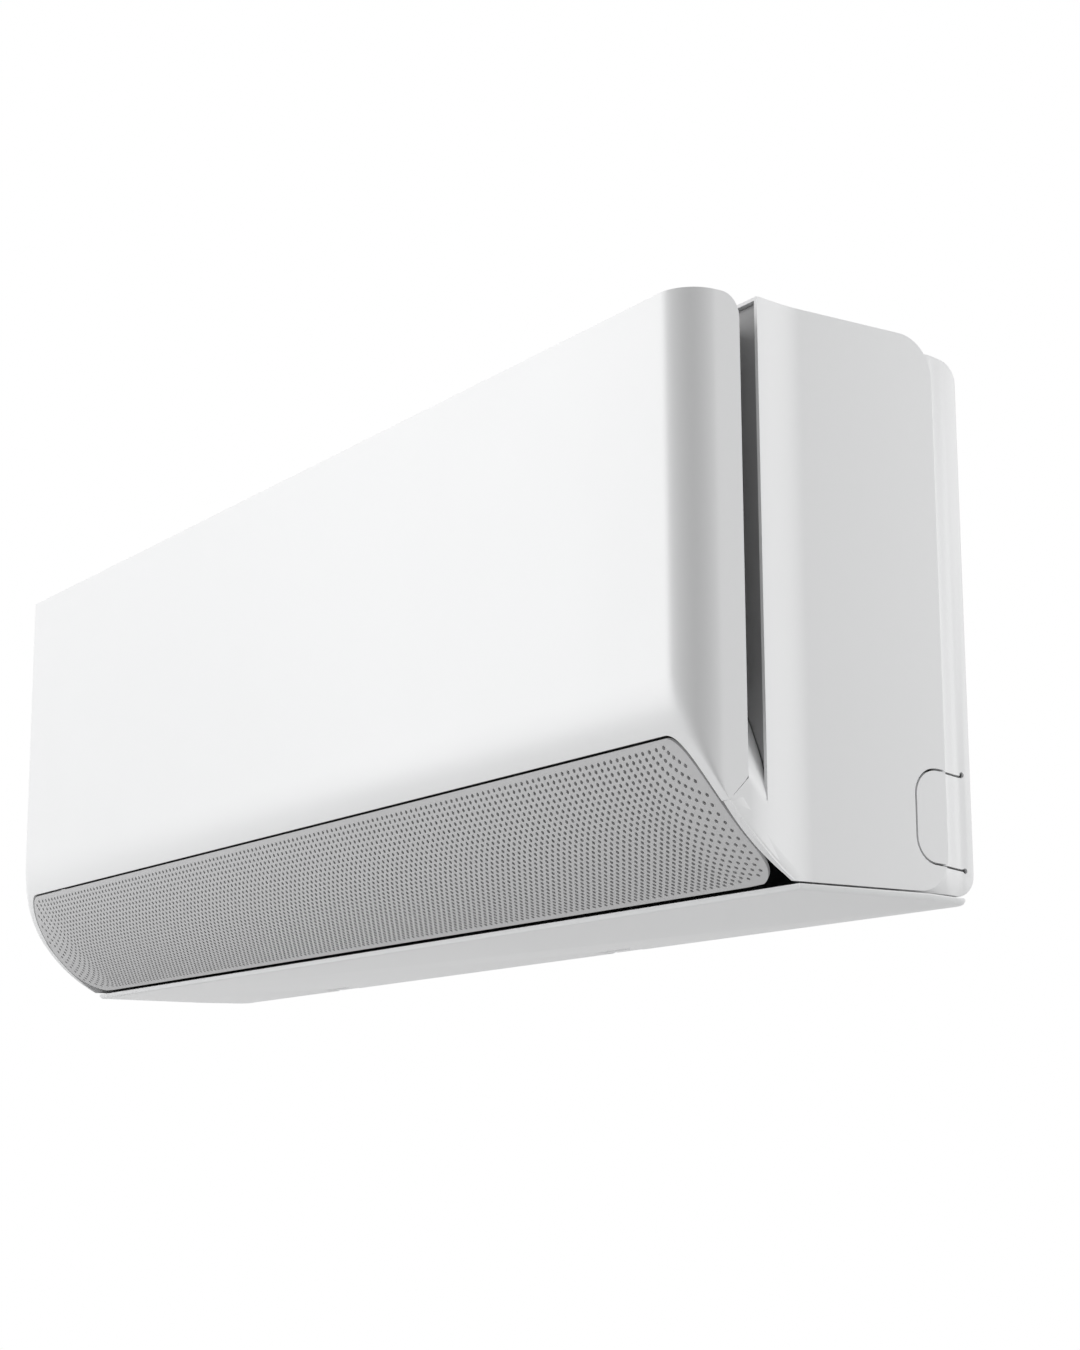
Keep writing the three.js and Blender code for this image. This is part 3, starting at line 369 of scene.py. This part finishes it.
# %% Arms and pegs
def plate(outline, x0, x1):
    """A flat plate: an outline of (y, z) points pushed along X."""
    bm = bmesh.new()
    face = bm.faces.new([bm.verts.new((x0, y, z)) for y, z in outline])
    made = bmesh.ops.extrude_face_region(bm, geom=[face])["geom"]
    bmesh.ops.translate(bm, verts=corners_in(made), vec=(x1 - x0, 0, 0))
    bmesh.ops.recalc_face_normals(bm, faces=bm.faces)
    return bm


def peg(bm, y, z, radius, x0, x1, sides=24):
    """Adds a round peg along X with softened ends."""
    turned = Matrix.Translation(((x0 + x1) / 2, y, z)) @ Matrix.Rotation(math.pi / 2, 4, "Y")
    made = bmesh.ops.create_cone(bm, cap_ends=True, segments=sides, radius1=radius, radius2=radius,
                                 depth=abs(x1 - x0), matrix=turned)["verts"]
    rims = {e for v in made for e in v.link_edges if e.calc_face_angle(0) > 1}
    bmesh.ops.bevel(bm, geom=list(rims), offset=0.4, affect="EDGES", segments=2, profile=0.5, material=-1)


def soften(bm, offset, angle=50):
    rim = [e for e in bm.edges if e.calc_face_angle(0) > math.radians(angle)]
    bmesh.ops.bevel(bm, geom=rim, offset=offset, affect="EDGES", segments=2, profile=0.5, material=-1,
                    clamp_overlap=True)


def both_sides(bm):
    bmesh.ops.mirror(bm, geom=bm.verts[:] + bm.edges[:] + bm.faces[:], axis="X", merge_dist=0.0001)
    bmesh.ops.recalc_face_normals(bm, faces=bm.faces)
    return bm


PANEL_PIVOT = (36, 312)
PANEL_ARM_INNER, PANEL_ARM_OUTER, PANEL_PEG_END = 424, 430, 437


def panel_arms():
    y, z = PANEL_PIVOT
    outline = [(2, z - 22), *ellipse(y, z, 5, 5, -80, 80, 12), (2, z + 8)]
    bm = plate(outline, PANEL_ARM_INNER, PANEL_ARM_OUTER)
    soften(bm, 0.5)
    peg(bm, y, z, 3, PANEL_ARM_OUTER - 0.4, PANEL_PEG_END)
    return both_sides(bm)


place("panel_arms", panel_arms(), "front_panel", FINISH["white_plastic"])

# %% [markdown]
# ## The side covers
# Seen from above, the side starts as wide as the panel and eases in to a flat that lies 5 mm
# further in. Below the open slot a ramp rises from the cheek and closes the slot. The outline is
# drawn flat in (y, z), with a slit where ramp and side part, and each point is then pushed out to
# its place. The edges that turn in towards the body are extruded from the rim.

# %% Side cover
SIDE_HALF = 465
SIDE_TOP = 332.2
SIDE_BOTTOM = 4.8
SIDE_REAR = 185
SIDE_TOP_R, SIDE_LOW_R = 24, 22
SIDE_WALL = 2.2
FLARE_FRONT, FLARE_REAR = 38, 86  # where the side starts and ends to ease in
EDGE = 52.2
RAMP_LOW, RAMP_RISE, RAMP_DEPTH, RAMP_END, RAMP_FALL = 57.5, 68.8, 28.8, 62.7, 0.92
RAMP_POWER = 1.35
CHEEK_TOP = 44.6
BODY_TOP = 440  # the edges at the top turn in as far as this
CHEEK_INNER = 464.3
CHEEK_ROUND = 2.6


def side_x(y):
    turn = min(max((y - FLARE_FRONT) / (FLARE_REAR - FLARE_FRONT), 0), 1)
    return SIDE_HALF + (HALF - SIDE_HALF) * (1 + math.cos(math.pi * turn)) / 2


def ramp_start(y):
    return RAMP_LOW - RAMP_FALL * (y - PANEL_BACK)


def cover_outline():
    arc_edge = [(arc_y(z), z) for z in steps(SIDE_BOTTOM, CHEEK_TOP, 14)]
    slit = EDGE - 0.2
    low = ramp_start(EDGE)
    return [*arc_edge, (PANEL_BACK, RAMP_LOW), (PANEL_BACK, RAMP_LOW + RAMP_END), (slit, low + RAMP_END),
            (slit, low + 4), (slit + 0.1, low), (EDGE, low + 4), (EDGE, SIDE_TOP),
            *ellipse(SIDE_REAR - SIDE_TOP_R, SIDE_TOP - SIDE_TOP_R, SIDE_TOP_R, SIDE_TOP_R, 90, 0),
            *ellipse(SIDE_REAR - SIDE_LOW_R, SIDE_BOTTOM + SIDE_LOW_R, SIDE_LOW_R, SIDE_LOW_R, 0, -90)]


def side_cover():
    bm = sheet(cover_outline())
    slice_at(bm, 0, steps(40, FLARE_REAR, 30))
    slice_at(bm, 2, steps(44, 122, 40))
    for vert in bm.verts:
        y, _, z = vert.co
        rise = min(max((z - ramp_start(y)) / RAMP_RISE, 0), 1)
        if y < EDGE - 0.05 and rise > 0:
            deeper = min(rise * 3, 1) * 1.9 * (y - PANEL_BACK) / (EDGE - PANEL_BACK)
            vert.co = (side_x(y) - RAMP_DEPTH * rise ** RAMP_POWER, y + deeper, z)
        else:
            vert.co = (side_x(y), y, z)
    bmesh.ops.recalc_face_normals(bm, faces=bm.faces)
    rim = [e for e in bm.edges if e.is_boundary and turns_in(e)]
    lip = bmesh.ops.extrude_edge_only(bm, edges=rim)["geom"]
    for vert in corners_in(lip):
        vert.co.x = BODY_TOP if vert.co.z > SIDE_TOP - 4 else SIDE_HALF - 10
    bmesh.ops.recalc_face_normals(bm, faces=bm.faces)
    if sum(f.normal.x * f.calc_area() for f in bm.faces) < 0:
        bmesh.ops.reverse_faces(bm, faces=bm.faces[:])
    return thicken(bm, SIDE_WALL, bevel=0.9, segments=3)


def on_arc(vert):
    return vert.co.z < SEAM_LOW and abs(vert.co.y - arc_y(vert.co.z)) < 0.02


def turns_in(edge):
    """The rim that turns in to the body: top, round rear corners, rear, and the bottom behind the vane."""
    _, y, z = (edge.verts[0].co + edge.verts[1].co) / 2
    high, low = SIDE_TOP - SIDE_TOP_R - 1, SIDE_BOTTOM + SIDE_LOW_R + 1
    corner = y > SIDE_REAR - SIDE_TOP_R - 1 and (z > high or z < low)
    bottom = z < SIDE_BOTTOM + 0.1 and y > FLARE_REAR + 4
    return z > SIDE_TOP - 0.1 or y > SIDE_REAR - 0.1 or corner or bottom


# %% [markdown]
# ## The rear strap
# Behind the flat side the body steps in, and a narrow strap eases in once more to the wall. It is
# the same kind of sheet, with round corners at the wall.

# %% Rear strap
STRAP_HALF = 461.9
REAR_HALF = 459
REAR = 209.7
STRAP_TOP = 324.5
STRAP_BOTTOM = 4.2
STRAP_START = 150
STRAP_EASE = 16
STRAP_R = 13


def strap_x(y):
    t = min(max((y - SIDE_REAR) / STRAP_EASE, 0), 1)
    return STRAP_HALF + (REAR_HALF - STRAP_HALF) * t * t * (3 - 2 * t)


def rear_strap():
    bm = sheet([(STRAP_START, STRAP_BOTTOM),
                *ellipse(REAR - STRAP_R, STRAP_BOTTOM + STRAP_R, STRAP_R, STRAP_R, -90, 0, 8),
                *ellipse(REAR - STRAP_R, STRAP_TOP - STRAP_R, STRAP_R, STRAP_R, 0, 90, 8),
                (STRAP_START, STRAP_TOP)])
    slice_at(bm, 0, steps(SIDE_REAR, SIDE_REAR + STRAP_EASE, 12))
    for vert in bm.verts:
        vert.co = (strap_x(vert.co.x), vert.co.x, vert.co.z)
    ends = [e for e in bm.edges if e.is_boundary and max(v.co.y for v in e.verts) > STRAP_START + 0.1]
    lip = bmesh.ops.extrude_edge_only(bm, edges=ends)["geom"]
    for vert in corners_in(lip):
        vert.co.x = BODY_TOP if vert.co.z > STRAP_TOP - 2 else 452
    bmesh.ops.recalc_face_normals(bm, faces=bm.faces)
    if sum(f.normal.x * f.calc_area() for f in bm.faces) < 0:
        bmesh.ops.reverse_faces(bm, faces=bm.faces[:])
    return thicken(bm, SIDE_WALL, bevel=0.6)


# %% [markdown]
# ## The knock-out slit
# A D-shaped slit marks the flap that is pressed out for pipes. It goes through both the side and
# the strap, so a thin solid in its shape is taken away from them with a Boolean.


# %% Slit
SLIT_Y, SLIT_END, SLIT_HIGH, SLIT_LOW = 177.5, 203, 74, 18.5
SLIT_R = 16
SLIT_WIDE = 1.3
SLIT_REACH = 35
SLIT_HOLE = 1.6  # radius of the small round hole at each end


def slit_tool():
    # Its ends slant down a little, away from the round corners
    line = [(SLIT_END, SLIT_HIGH), *ellipse(SLIT_Y, SLIT_HIGH - 14.5, SLIT_R, SLIT_R, 90, 180),
            *ellipse(SLIT_Y, SLIT_LOW + 17.5, SLIT_R, SLIT_R, 180, 270), (SLIT_END, SLIT_LOW)]
    bm = bmesh.new()
    path = [bm.verts.new((BODY_TOP, y, z)) for y, z in line]
    edges = [bm.edges.new(pair) for pair in zip(path, path[1:])]
    made = bmesh.ops.extrude_edge_only(bm, edges=edges)["geom"]
    bmesh.ops.translate(bm, verts=corners_in(made), vec=(SLIT_REACH, 0, 0))
    bmesh.ops.recalc_face_normals(bm, faces=bm.faces)
    bmesh.ops.solidify(bm, geom=bm.faces[:], thickness=SLIT_WIDE)
    for z in (SLIT_HIGH + 0.7, SLIT_LOW + 0.6):
        peg(bm, SLIT_END, z, SLIT_HOLE, BODY_TOP, BODY_TOP + SLIT_REACH, 16)
    bmesh.ops.recalc_face_normals(bm, faces=bm.faces)
    bmesh.ops.transform(bm, matrix=CASE, verts=bm.verts)
    return linked("slit", bm)


def carve(piece, tool):
    """Takes the tool away from a piece and keeps the result as the piece's own mesh."""
    cut = piece.modifiers.new("slit", "BOOLEAN")
    cut.object = tool
    cut.operation = "DIFFERENCE"
    cut.solver = "EXACT"
    cut.use_self = True
    done = piece.evaluated_get(bpy.context.evaluated_depsgraph_get())
    mesh = bpy.data.meshes.new_from_object(done)
    piece.modifiers.clear()
    piece.data = mesh
    return piece


def mirrored(piece, name, body):
    bm = bmesh.new()
    bm.from_mesh(piece.data)
    bmesh.ops.scale(bm, verts=bm.verts, vec=(-1, 1, 1))
    bmesh.ops.reverse_faces(bm, faces=bm.faces[:])
    twin = linked(name, bm)
    twin.data.set_sharp_from_angle(angle=math.radians(SHARP))
    twin.data.materials.append(piece.data.materials[0])
    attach(twin, body)
    return twin


# %% Both side covers and straps in place
cover_right = place("side_shell_right", side_cover(), "case", FINISH["white_plastic"])
strap_right = place("rear_strap_right", rear_strap(), "case", FINISH["white_plastic"])
tool = slit_tool()
for piece in (cover_right, strap_right):
    carve(piece, tool)
bpy.data.objects.remove(tool)
cover_left = mirrored(cover_right, "side_shell_left", "case")
mirrored(strap_right, "rear_strap_left", "case")
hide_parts("side_cover_right")
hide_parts("side_cover_left")
even_normals(cover_right)
even_normals(cover_left)
print("side covers and straps on both sides")

# %% [markdown]
# ## The cheeks
# Beside the vane each side cover ends in a thick rounded edge. A plate along the round front is
# as thick as that edge, follows the side's plan, and has its outer front edge rounded.


# %% Cheeks
def cheeks():
    front = [(arc_y(z), z) for z in steps(SIDE_BOTTOM, CHEEK_TOP, 20)]
    bm = plate([*front, *((y + 9, z + 2) for y, z in reversed(front))], CHEEK_INNER, HALF)
    for vert in bm.verts:
        x, y, _ = vert.co
        vert.co.x = side_x(y) + 0.04 if x > CHEEK_INNER + 1 else min(CHEEK_INNER, side_x(y) - 1.4)
    rim = [e for e in bm.edges if all(v.co.x > CHEEK_INNER + 0.6 and on_arc(v) for v in e.verts)]
    bmesh.ops.bevel(bm, geom=rim, offset=CHEEK_ROUND, affect="EDGES", segments=5, profile=0.5, material=-1,
                    clamp_overlap=True)
    return both_sides(bm)


place("cheeks", cheeks(), "case", FINISH["white_plastic"])

# %% [markdown]
# ## The perforated vane
# Over four thousand moulded holes soften the air. They stand in slanting rows that lie closer
# towards the bottom, and near both ends they spread and rise. So the pattern is made where it is
# regular: one cell, a six-sided ring round a hole, repeated by whole steps along the row and then
# from row to row. A formula carries each step to its place on the flat sheet, a plain margin is
# filled out to the outline, and the sheet is rolled on to the round front and thickened.

# %% Vane
PITCH = 6.09
EVEN_ROW = 3
ROWS = 31
HOLE = 1.42
MARGIN = 4.4  # from a hole's middle to the outline
FIRST_HOLE = 404.2 - 66 * PITCH  # the first row's hole nearest the middle
FIRST_ROW, ROW_STEP, ROW_CLOSER = 5.1, 3.74, 0.0225
SLANT, SLANT_GROWS, SLANTED_ROWS = 1.4, 0.115, 15
RISE = 0.38  # how far the spread rows rise for each millimetre of spread
VANE_LOW_CORNER = (427, 46, 35.5, 27)  # seen from above: middle x and y, and half sizes
VANE_WALL = 2
TURN_TOP = math.asin((ARC_Z - VANE_TOP) / ARC_R)
TURN_BOTTOM = math.asin((ARC_Z - VANE_BOTTOM) / ARC_R)
UNROLLED = ARC_R * (TURN_BOTTOM - TURN_TOP)


def down(z):
    """Distance along the round front from the vane's top edge to height z."""
    return ARC_R * (math.asin((ARC_Z - z) / ARC_R) - TURN_TOP)


def vane_outline():
    right = [(x, down(z)) for x, z in ellipse(*VANE_CORNER, 90, 0, 24)]
    lower = [(x, down(ARC_Z - math.sqrt(ARC_R ** 2 - (ARC_Y - y) ** 2)))
             for x, y in ellipse(*VANE_LOW_CORNER, 0, 89.5, 24)]
    half = right + [p for p in lower if p[1] < UNROLLED] + [(VANE_LOW_CORNER[0], UNROLLED)]
    return half + [(-x, t) for x, t in reversed(half)]


def on_sheet(i, j):
    """Where step i of row j lies on the flat sheet: across from the middle, and down."""
    early = min(j, SLANTED_ROWS)
    slant = SLANT * early + SLANT_GROWS / 2 * early * (early - 1) + PITCH / 2 * (j - early)
    x = FIRST_HOLE + PITCH * i + slant
    t = FIRST_ROW + ROW_STEP * j - ROW_CLOSER * j * j
    over = max(abs(x) - max(416 - 0.4 * j, 409), 0)
    spread = (0.016 - 0.012 * math.exp(-max(j, 0) / 5)) * over ** 2
    return x + math.copysign(spread, x), t - RISE * spread


def room(point, outline):
    """Distance from a point inside the outline to its nearest edge, negative outside."""
    px, pt = point
    best, inside = 1e9, False
    for (ax, at), (bx, bt) in zip(outline, outline[1:] + outline[:1]):
        dx, dt = bx - ax, bt - at
        k = min(max(((px - ax) * dx + (pt - at) * dt) / (dx * dx + dt * dt + 1e-12), 0), 1)
        best = min(best, math.hypot(px - ax - k * dx, pt - at - k * dt))
        if (at > pt) != (bt > pt) and px < (bx - ax) * (pt - at) / (bt - at) + ax:
            inside = not inside
    return best if inside else -best


def even(i, j):
    """Where step i of row j lies in the regular pattern."""
    return PITCH * (i + j / 2), EVEN_ROW * j


def uneven(x, z):
    return x / PITCH - z / EVEN_ROW / 2, z / EVEN_ROW


def hole_cell(bm, mark):
    """One ring round a hole: its corners are the middles between three holes."""
    third = 1 / 3
    ring = [(third, third), (-third, 2 * third), (-2 * third, third), (-third, -third), (third, -2 * third),
            (2 * third, -third)]
    corners = [bm.verts.new((x, 0, z)) for x, z in (even(i, j) for i, j in ring)]
    sides = [bm.edges.new((corners[k - 1], corners[k])) for k in range(6)]
    hole = bmesh.ops.create_circle(bm, segments=6, radius=0.9)["verts"]
    bmesh.ops.rotate(bm, verts=hole, matrix=Matrix.Rotation(math.pi / 2, 3, "X"))
    bmesh.ops.rotate(bm, verts=hole, matrix=Matrix.Rotation(math.pi / 6, 3, "Y"))
    for vert in hole:
        vert[mark] = 1
    edges = list({e for v in hole for e in v.link_edges})
    bmesh.ops.bridge_loops(bm, edges=sides + edges)


def repeat(bm, step, count):
    bmesh.ops.spin(bm, geom=bm.verts[:] + bm.edges[:] + bm.faces[:], angle=0, steps=count, dvec=step,
                   use_duplicate=True, axis=(0, 1, 0), cent=(0, 0, 0))


def cell_of(point):
    j = round(point.z / EVEN_ROW)
    return round(point.x / PITCH - j / 2), j


def warp(bm, mark, outline):
    """Carries the regular pattern to its place on the sheet and keeps it inside the outline."""
    for vert in bm.verts:
        if vert[mark]:
            i, j = cell_of(vert.co)
            turn = math.atan2(vert.co.z - even(i, j)[1], vert.co.x - even(i, j)[0])
            x, t = on_sheet(i, j)
            vert.co = (x + HOLE * math.cos(turn), 0, t + HOLE * math.sin(turn))
        else:
            x, t = on_sheet(*uneven(vert.co.x, vert.co.z))
            vert.co = (x, 0, t)
    for vert in bm.verts:
        if vert.is_boundary and not vert[mark]:
            holes = [e.other_vert(vert).co for e in vert.link_edges if e.other_vert(vert)[mark]]
            middle = sum(holes, Vector()) / len(holes)
            while room((vert.co.x, vert.co.z), outline) < MARGIN / 2.5:
                vert.co = vert.co.lerp(middle, 0.1)


def perforated_vane():
    outline = vane_outline()
    bm = bmesh.new()
    mark = bm.verts.layers.int.new("hole")
    hole_cell(bm, mark)
    first, last = -90, 76
    bmesh.ops.translate(bm, verts=bm.verts, vec=(first * PITCH, 0, 0))
    repeat(bm, (PITCH, 0, 0), last - first)
    repeat(bm, (PITCH / 2, 0, EVEN_ROW), ROWS - 1)
    kept = {(i, j) for j in range(ROWS) for i in range(first, last + 1)
            if room(on_sheet(i, j), outline) > MARGIN}
    outside = [f for f in bm.faces if cell_of(next(v.co for v in f.verts if v[mark])) not in kept]
    bmesh.ops.delete(bm, geom=outside, context="FACES")
    bmesh.ops.remove_doubles(bm, verts=bm.verts, dist=0.01)
    warp(bm, mark, outline)
    inner = [e for e in bm.edges if e.is_boundary and not (e.verts[0][mark] and e.verts[1][mark])]
    edge = [bm.verts.new((x, 0, t)) for x, t in outline]
    outer = [bm.edges.new((edge[k - 1], edge[k])) for k in range(len(edge))]
    bmesh.ops.triangle_fill(bm, use_beauty=True, use_dissolve=False, edges=inner + outer, normal=(0, 1, 0))
    for vert in bm.verts:
        turn = TURN_TOP + vert.co.z / ARC_R
        vert.co = (vert.co.x, ARC_Y - ARC_R * math.cos(turn), ARC_Z - ARC_R * math.sin(turn))
    bmesh.ops.recalc_face_normals(bm, faces=bm.faces)
    if sum(f.normal.y * f.calc_area() for f in bm.faces) > 0:
        bmesh.ops.reverse_faces(bm, faces=bm.faces[:])
    bmesh.ops.solidify(bm, geom=bm.faces[:], thickness=VANE_WALL)
    print("holes", len(kept), "triangles", sum(len(f.verts) - 2 for f in bm.faces))
    return bm


vane = place("vane_shell", perforated_vane(), "vane", FINISH["vane_plastic"], sharp=40)
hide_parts("perforated_vane")

# %% Vane arms
VANE_PIVOT = (74, 30)
VANE_ARM_INNER, VANE_ARM_OUTER, VANE_PEG_END = 440, 446, 456
VANE_BOSS, VANE_PEG = 7, 3.5


def vane_arms():
    y, z = VANE_PIVOT
    lower = [(ARC_Y - math.sqrt((ARC_R - 1.5) ** 2 - (h - ARC_Z) ** 2), h) for h in steps(36, 14, 10)]
    bm = plate([*ellipse(y, z, VANE_BOSS, VANE_BOSS, -60, 110), *lower], VANE_ARM_INNER, VANE_ARM_OUTER)
    soften(bm, 0.4)
    peg(bm, y, z, VANE_PEG, VANE_ARM_OUTER - 0.4, VANE_PEG_END)
    return both_sides(bm)


place("vane_arms", vane_arms(), "vane", FINISH["vane_plastic"])

# %% [markdown]
# ## The slot's upper end and the bottom cover
# The channel behind the open slot ends in a small upright plate, just behind the path that the
# panel's rear edge takes when it lifts. The bottom cover is a shallow tray: its outline, with a
# jog for each of the two release clips, is extruded, its lower rim rounded, and given a wall.

# %% Slot ends and bottom cover
def slot_ends():
    bm = plate([(55, 314), (56.4, 314), (56.4, 329.5), (55, 329.5)], 440.5, 464)
    soften(bm, 0.3)
    return both_sides(bm)


# The plate takes the slot liner's grey, the same painted shade.
place("slot_ends", slot_ends(), "case", FINISH["grey_plastic"])

CLIP_X = (-270, 120)
CLIP_HALF = 16
CLIP_FRONT = 196
BOTTOM_FRONT = 75.5
BOTTOM_DEEP = 3.6
BOTTOM_HALF = SIDE_HALF + 0.8


def bottom_outline():
    right = [(BOTTOM_HALF, BOTTOM_FRONT), (BOTTOM_HALF, 170),
             *ellipse(REAR_HALF - STRAP_R, REAR - STRAP_R, STRAP_R, STRAP_R, 0, 90, 8)]
    jogs = []
    for x in sorted(CLIP_X, reverse=True):
        jogs += [(x + CLIP_HALF, REAR), (x + CLIP_HALF, CLIP_FRONT),
                 (x - CLIP_HALF, CLIP_FRONT), (x - CLIP_HALF, REAR)]
    return [*right, *jogs, *((-x, y) for x, y in reversed(right))]


def bottom_cover():
    bm = bmesh.new()
    face = bm.faces.new([bm.verts.new((x, y, BOTTOM_DEEP)) for x, y in bottom_outline()])
    made = bmesh.ops.extrude_face_region(bm, geom=[face])["geom"]
    bmesh.ops.translate(bm, verts=corners_in(made), vec=(0, 0, -BOTTOM_DEEP))
    top = [f for f in bm.faces if min(v.co.z for v in f.verts) > BOTTOM_DEEP - 0.1]
    bmesh.ops.delete(bm, geom=top, context="FACES_ONLY")
    rim = [e for e in bm.edges if all(v.co.z < 0.01 for v in e.verts)]
    bmesh.ops.bevel(bm, geom=rim, offset=3.2, affect="EDGES", segments=6, profile=0.5, material=-1,
                    clamp_overlap=True)
    bmesh.ops.recalc_face_normals(bm, faces=bm.faces)
    if sum(f.normal.z * f.calc_area() for f in bm.faces) > 0:
        bmesh.ops.reverse_faces(bm, faces=bm.faces[:])
    bmesh.ops.solidify(bm, geom=bm.faces[:], thickness=1.5)
    return bm


bottom = place("bottom_shell", bottom_cover(), "case", FINISH["white_plastic"])
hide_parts("bottom_cover")

# %% [markdown]
# ## The lights
# White plastic shows its shape only where the light falls off. A big soft lamp in front on the
# left gives the even front, a second one behind on the right lights the side, and between them
# the round corner stays a little darker, as it does in the photograph.


# %% Lights
def lamp(name, place_at, aim, size, power):
    light = bpy.data.lights.new(name, "AREA")
    light.shape = "RECTANGLE"
    light.size, light.size_y = size
    light.energy = power
    obj = bpy.data.objects.new(name, light)
    bpy.context.scene.collection.objects.link(obj)
    obj.location = place_at
    obj.rotation_euler = (Vector(aim) - Vector(place_at)).to_track_quat("-Z", "Y").to_euler()
    return obj


lamp("left front lamp", (-2.6, -3.0, 1.2), (0, -0.1, 0), (2.5, 2.5), 88)
lamp("right rear lamp", (2.2, 2.6, 0.9), (0.3, 0, 0), (1.6, 2.5), 45)

# %% [markdown]
# ## Floor and background
# The unit hangs free in front of plain white. The floor is a pale sheet below it that takes the
# soft shadow, and the world gives the fill light.


# %% Floor and world
def pale_floor():
    bm = bmesh.new()
    bmesh.ops.create_grid(bm, x_segments=1, y_segments=1, size=6)
    bmesh.ops.translate(bm, verts=bm.verts, vec=(0, 0, -1.3))
    floor = linked("floor", bm)
    material, tree, principled = shader("pale floor", Roughness=0.9)
    principled.inputs["Base Color"].default_value = (0.9, 0.9, 0.9, 1)
    white = node(tree, "ShaderNodeEmission", Color=(1, 1, 1, 1), Strength=1.0)
    path = node(tree, "ShaderNodeLightPath")
    mix = node(tree, "ShaderNodeMixShader", [(path.outputs["Is Camera Ray"], 0)])
    tree.links.new(principled.outputs[0], mix.inputs[1])
    tree.links.new(white.outputs[0], mix.inputs[2])
    tree.links.new(mix.outputs[0], tree.nodes["Material Output"].inputs["Surface"])
    floor.data.materials.append(material)


def white_world():
    world = bpy.data.worlds.new("white")
    bpy.context.scene.world = world
    world.use_nodes = True
    tree = world.node_tree
    fill = tree.nodes["Background"]
    fill.inputs["Color"].default_value = (1, 1, 1, 1)
    fill.inputs["Strength"].default_value = 0.4
    white = node(tree, "ShaderNodeBackground", Color=(1, 1, 1, 1), Strength=1.0)
    path = node(tree, "ShaderNodeLightPath")
    seen = node(tree, "ShaderNodeMath",
                [(path.outputs["Is Camera Ray"], 0), (path.outputs["Is Transmission Ray"], 1)],
                operation="MAXIMUM")
    shown = node(tree, "ShaderNodeMath",
                 [(seen.outputs[0], 0), (path.outputs["Is Glossy Ray"], 1)], operation="MAXIMUM")
    mix = node(tree, "ShaderNodeMixShader", [(shown.outputs[0], 0)])
    tree.links.new(fill.outputs[0], mix.inputs[1])
    tree.links.new(white.outputs[0], mix.inputs[2])
    tree.links.new(mix.outputs[0], tree.nodes["World Output"].inputs["Surface"])


pale_floor()
white_world()
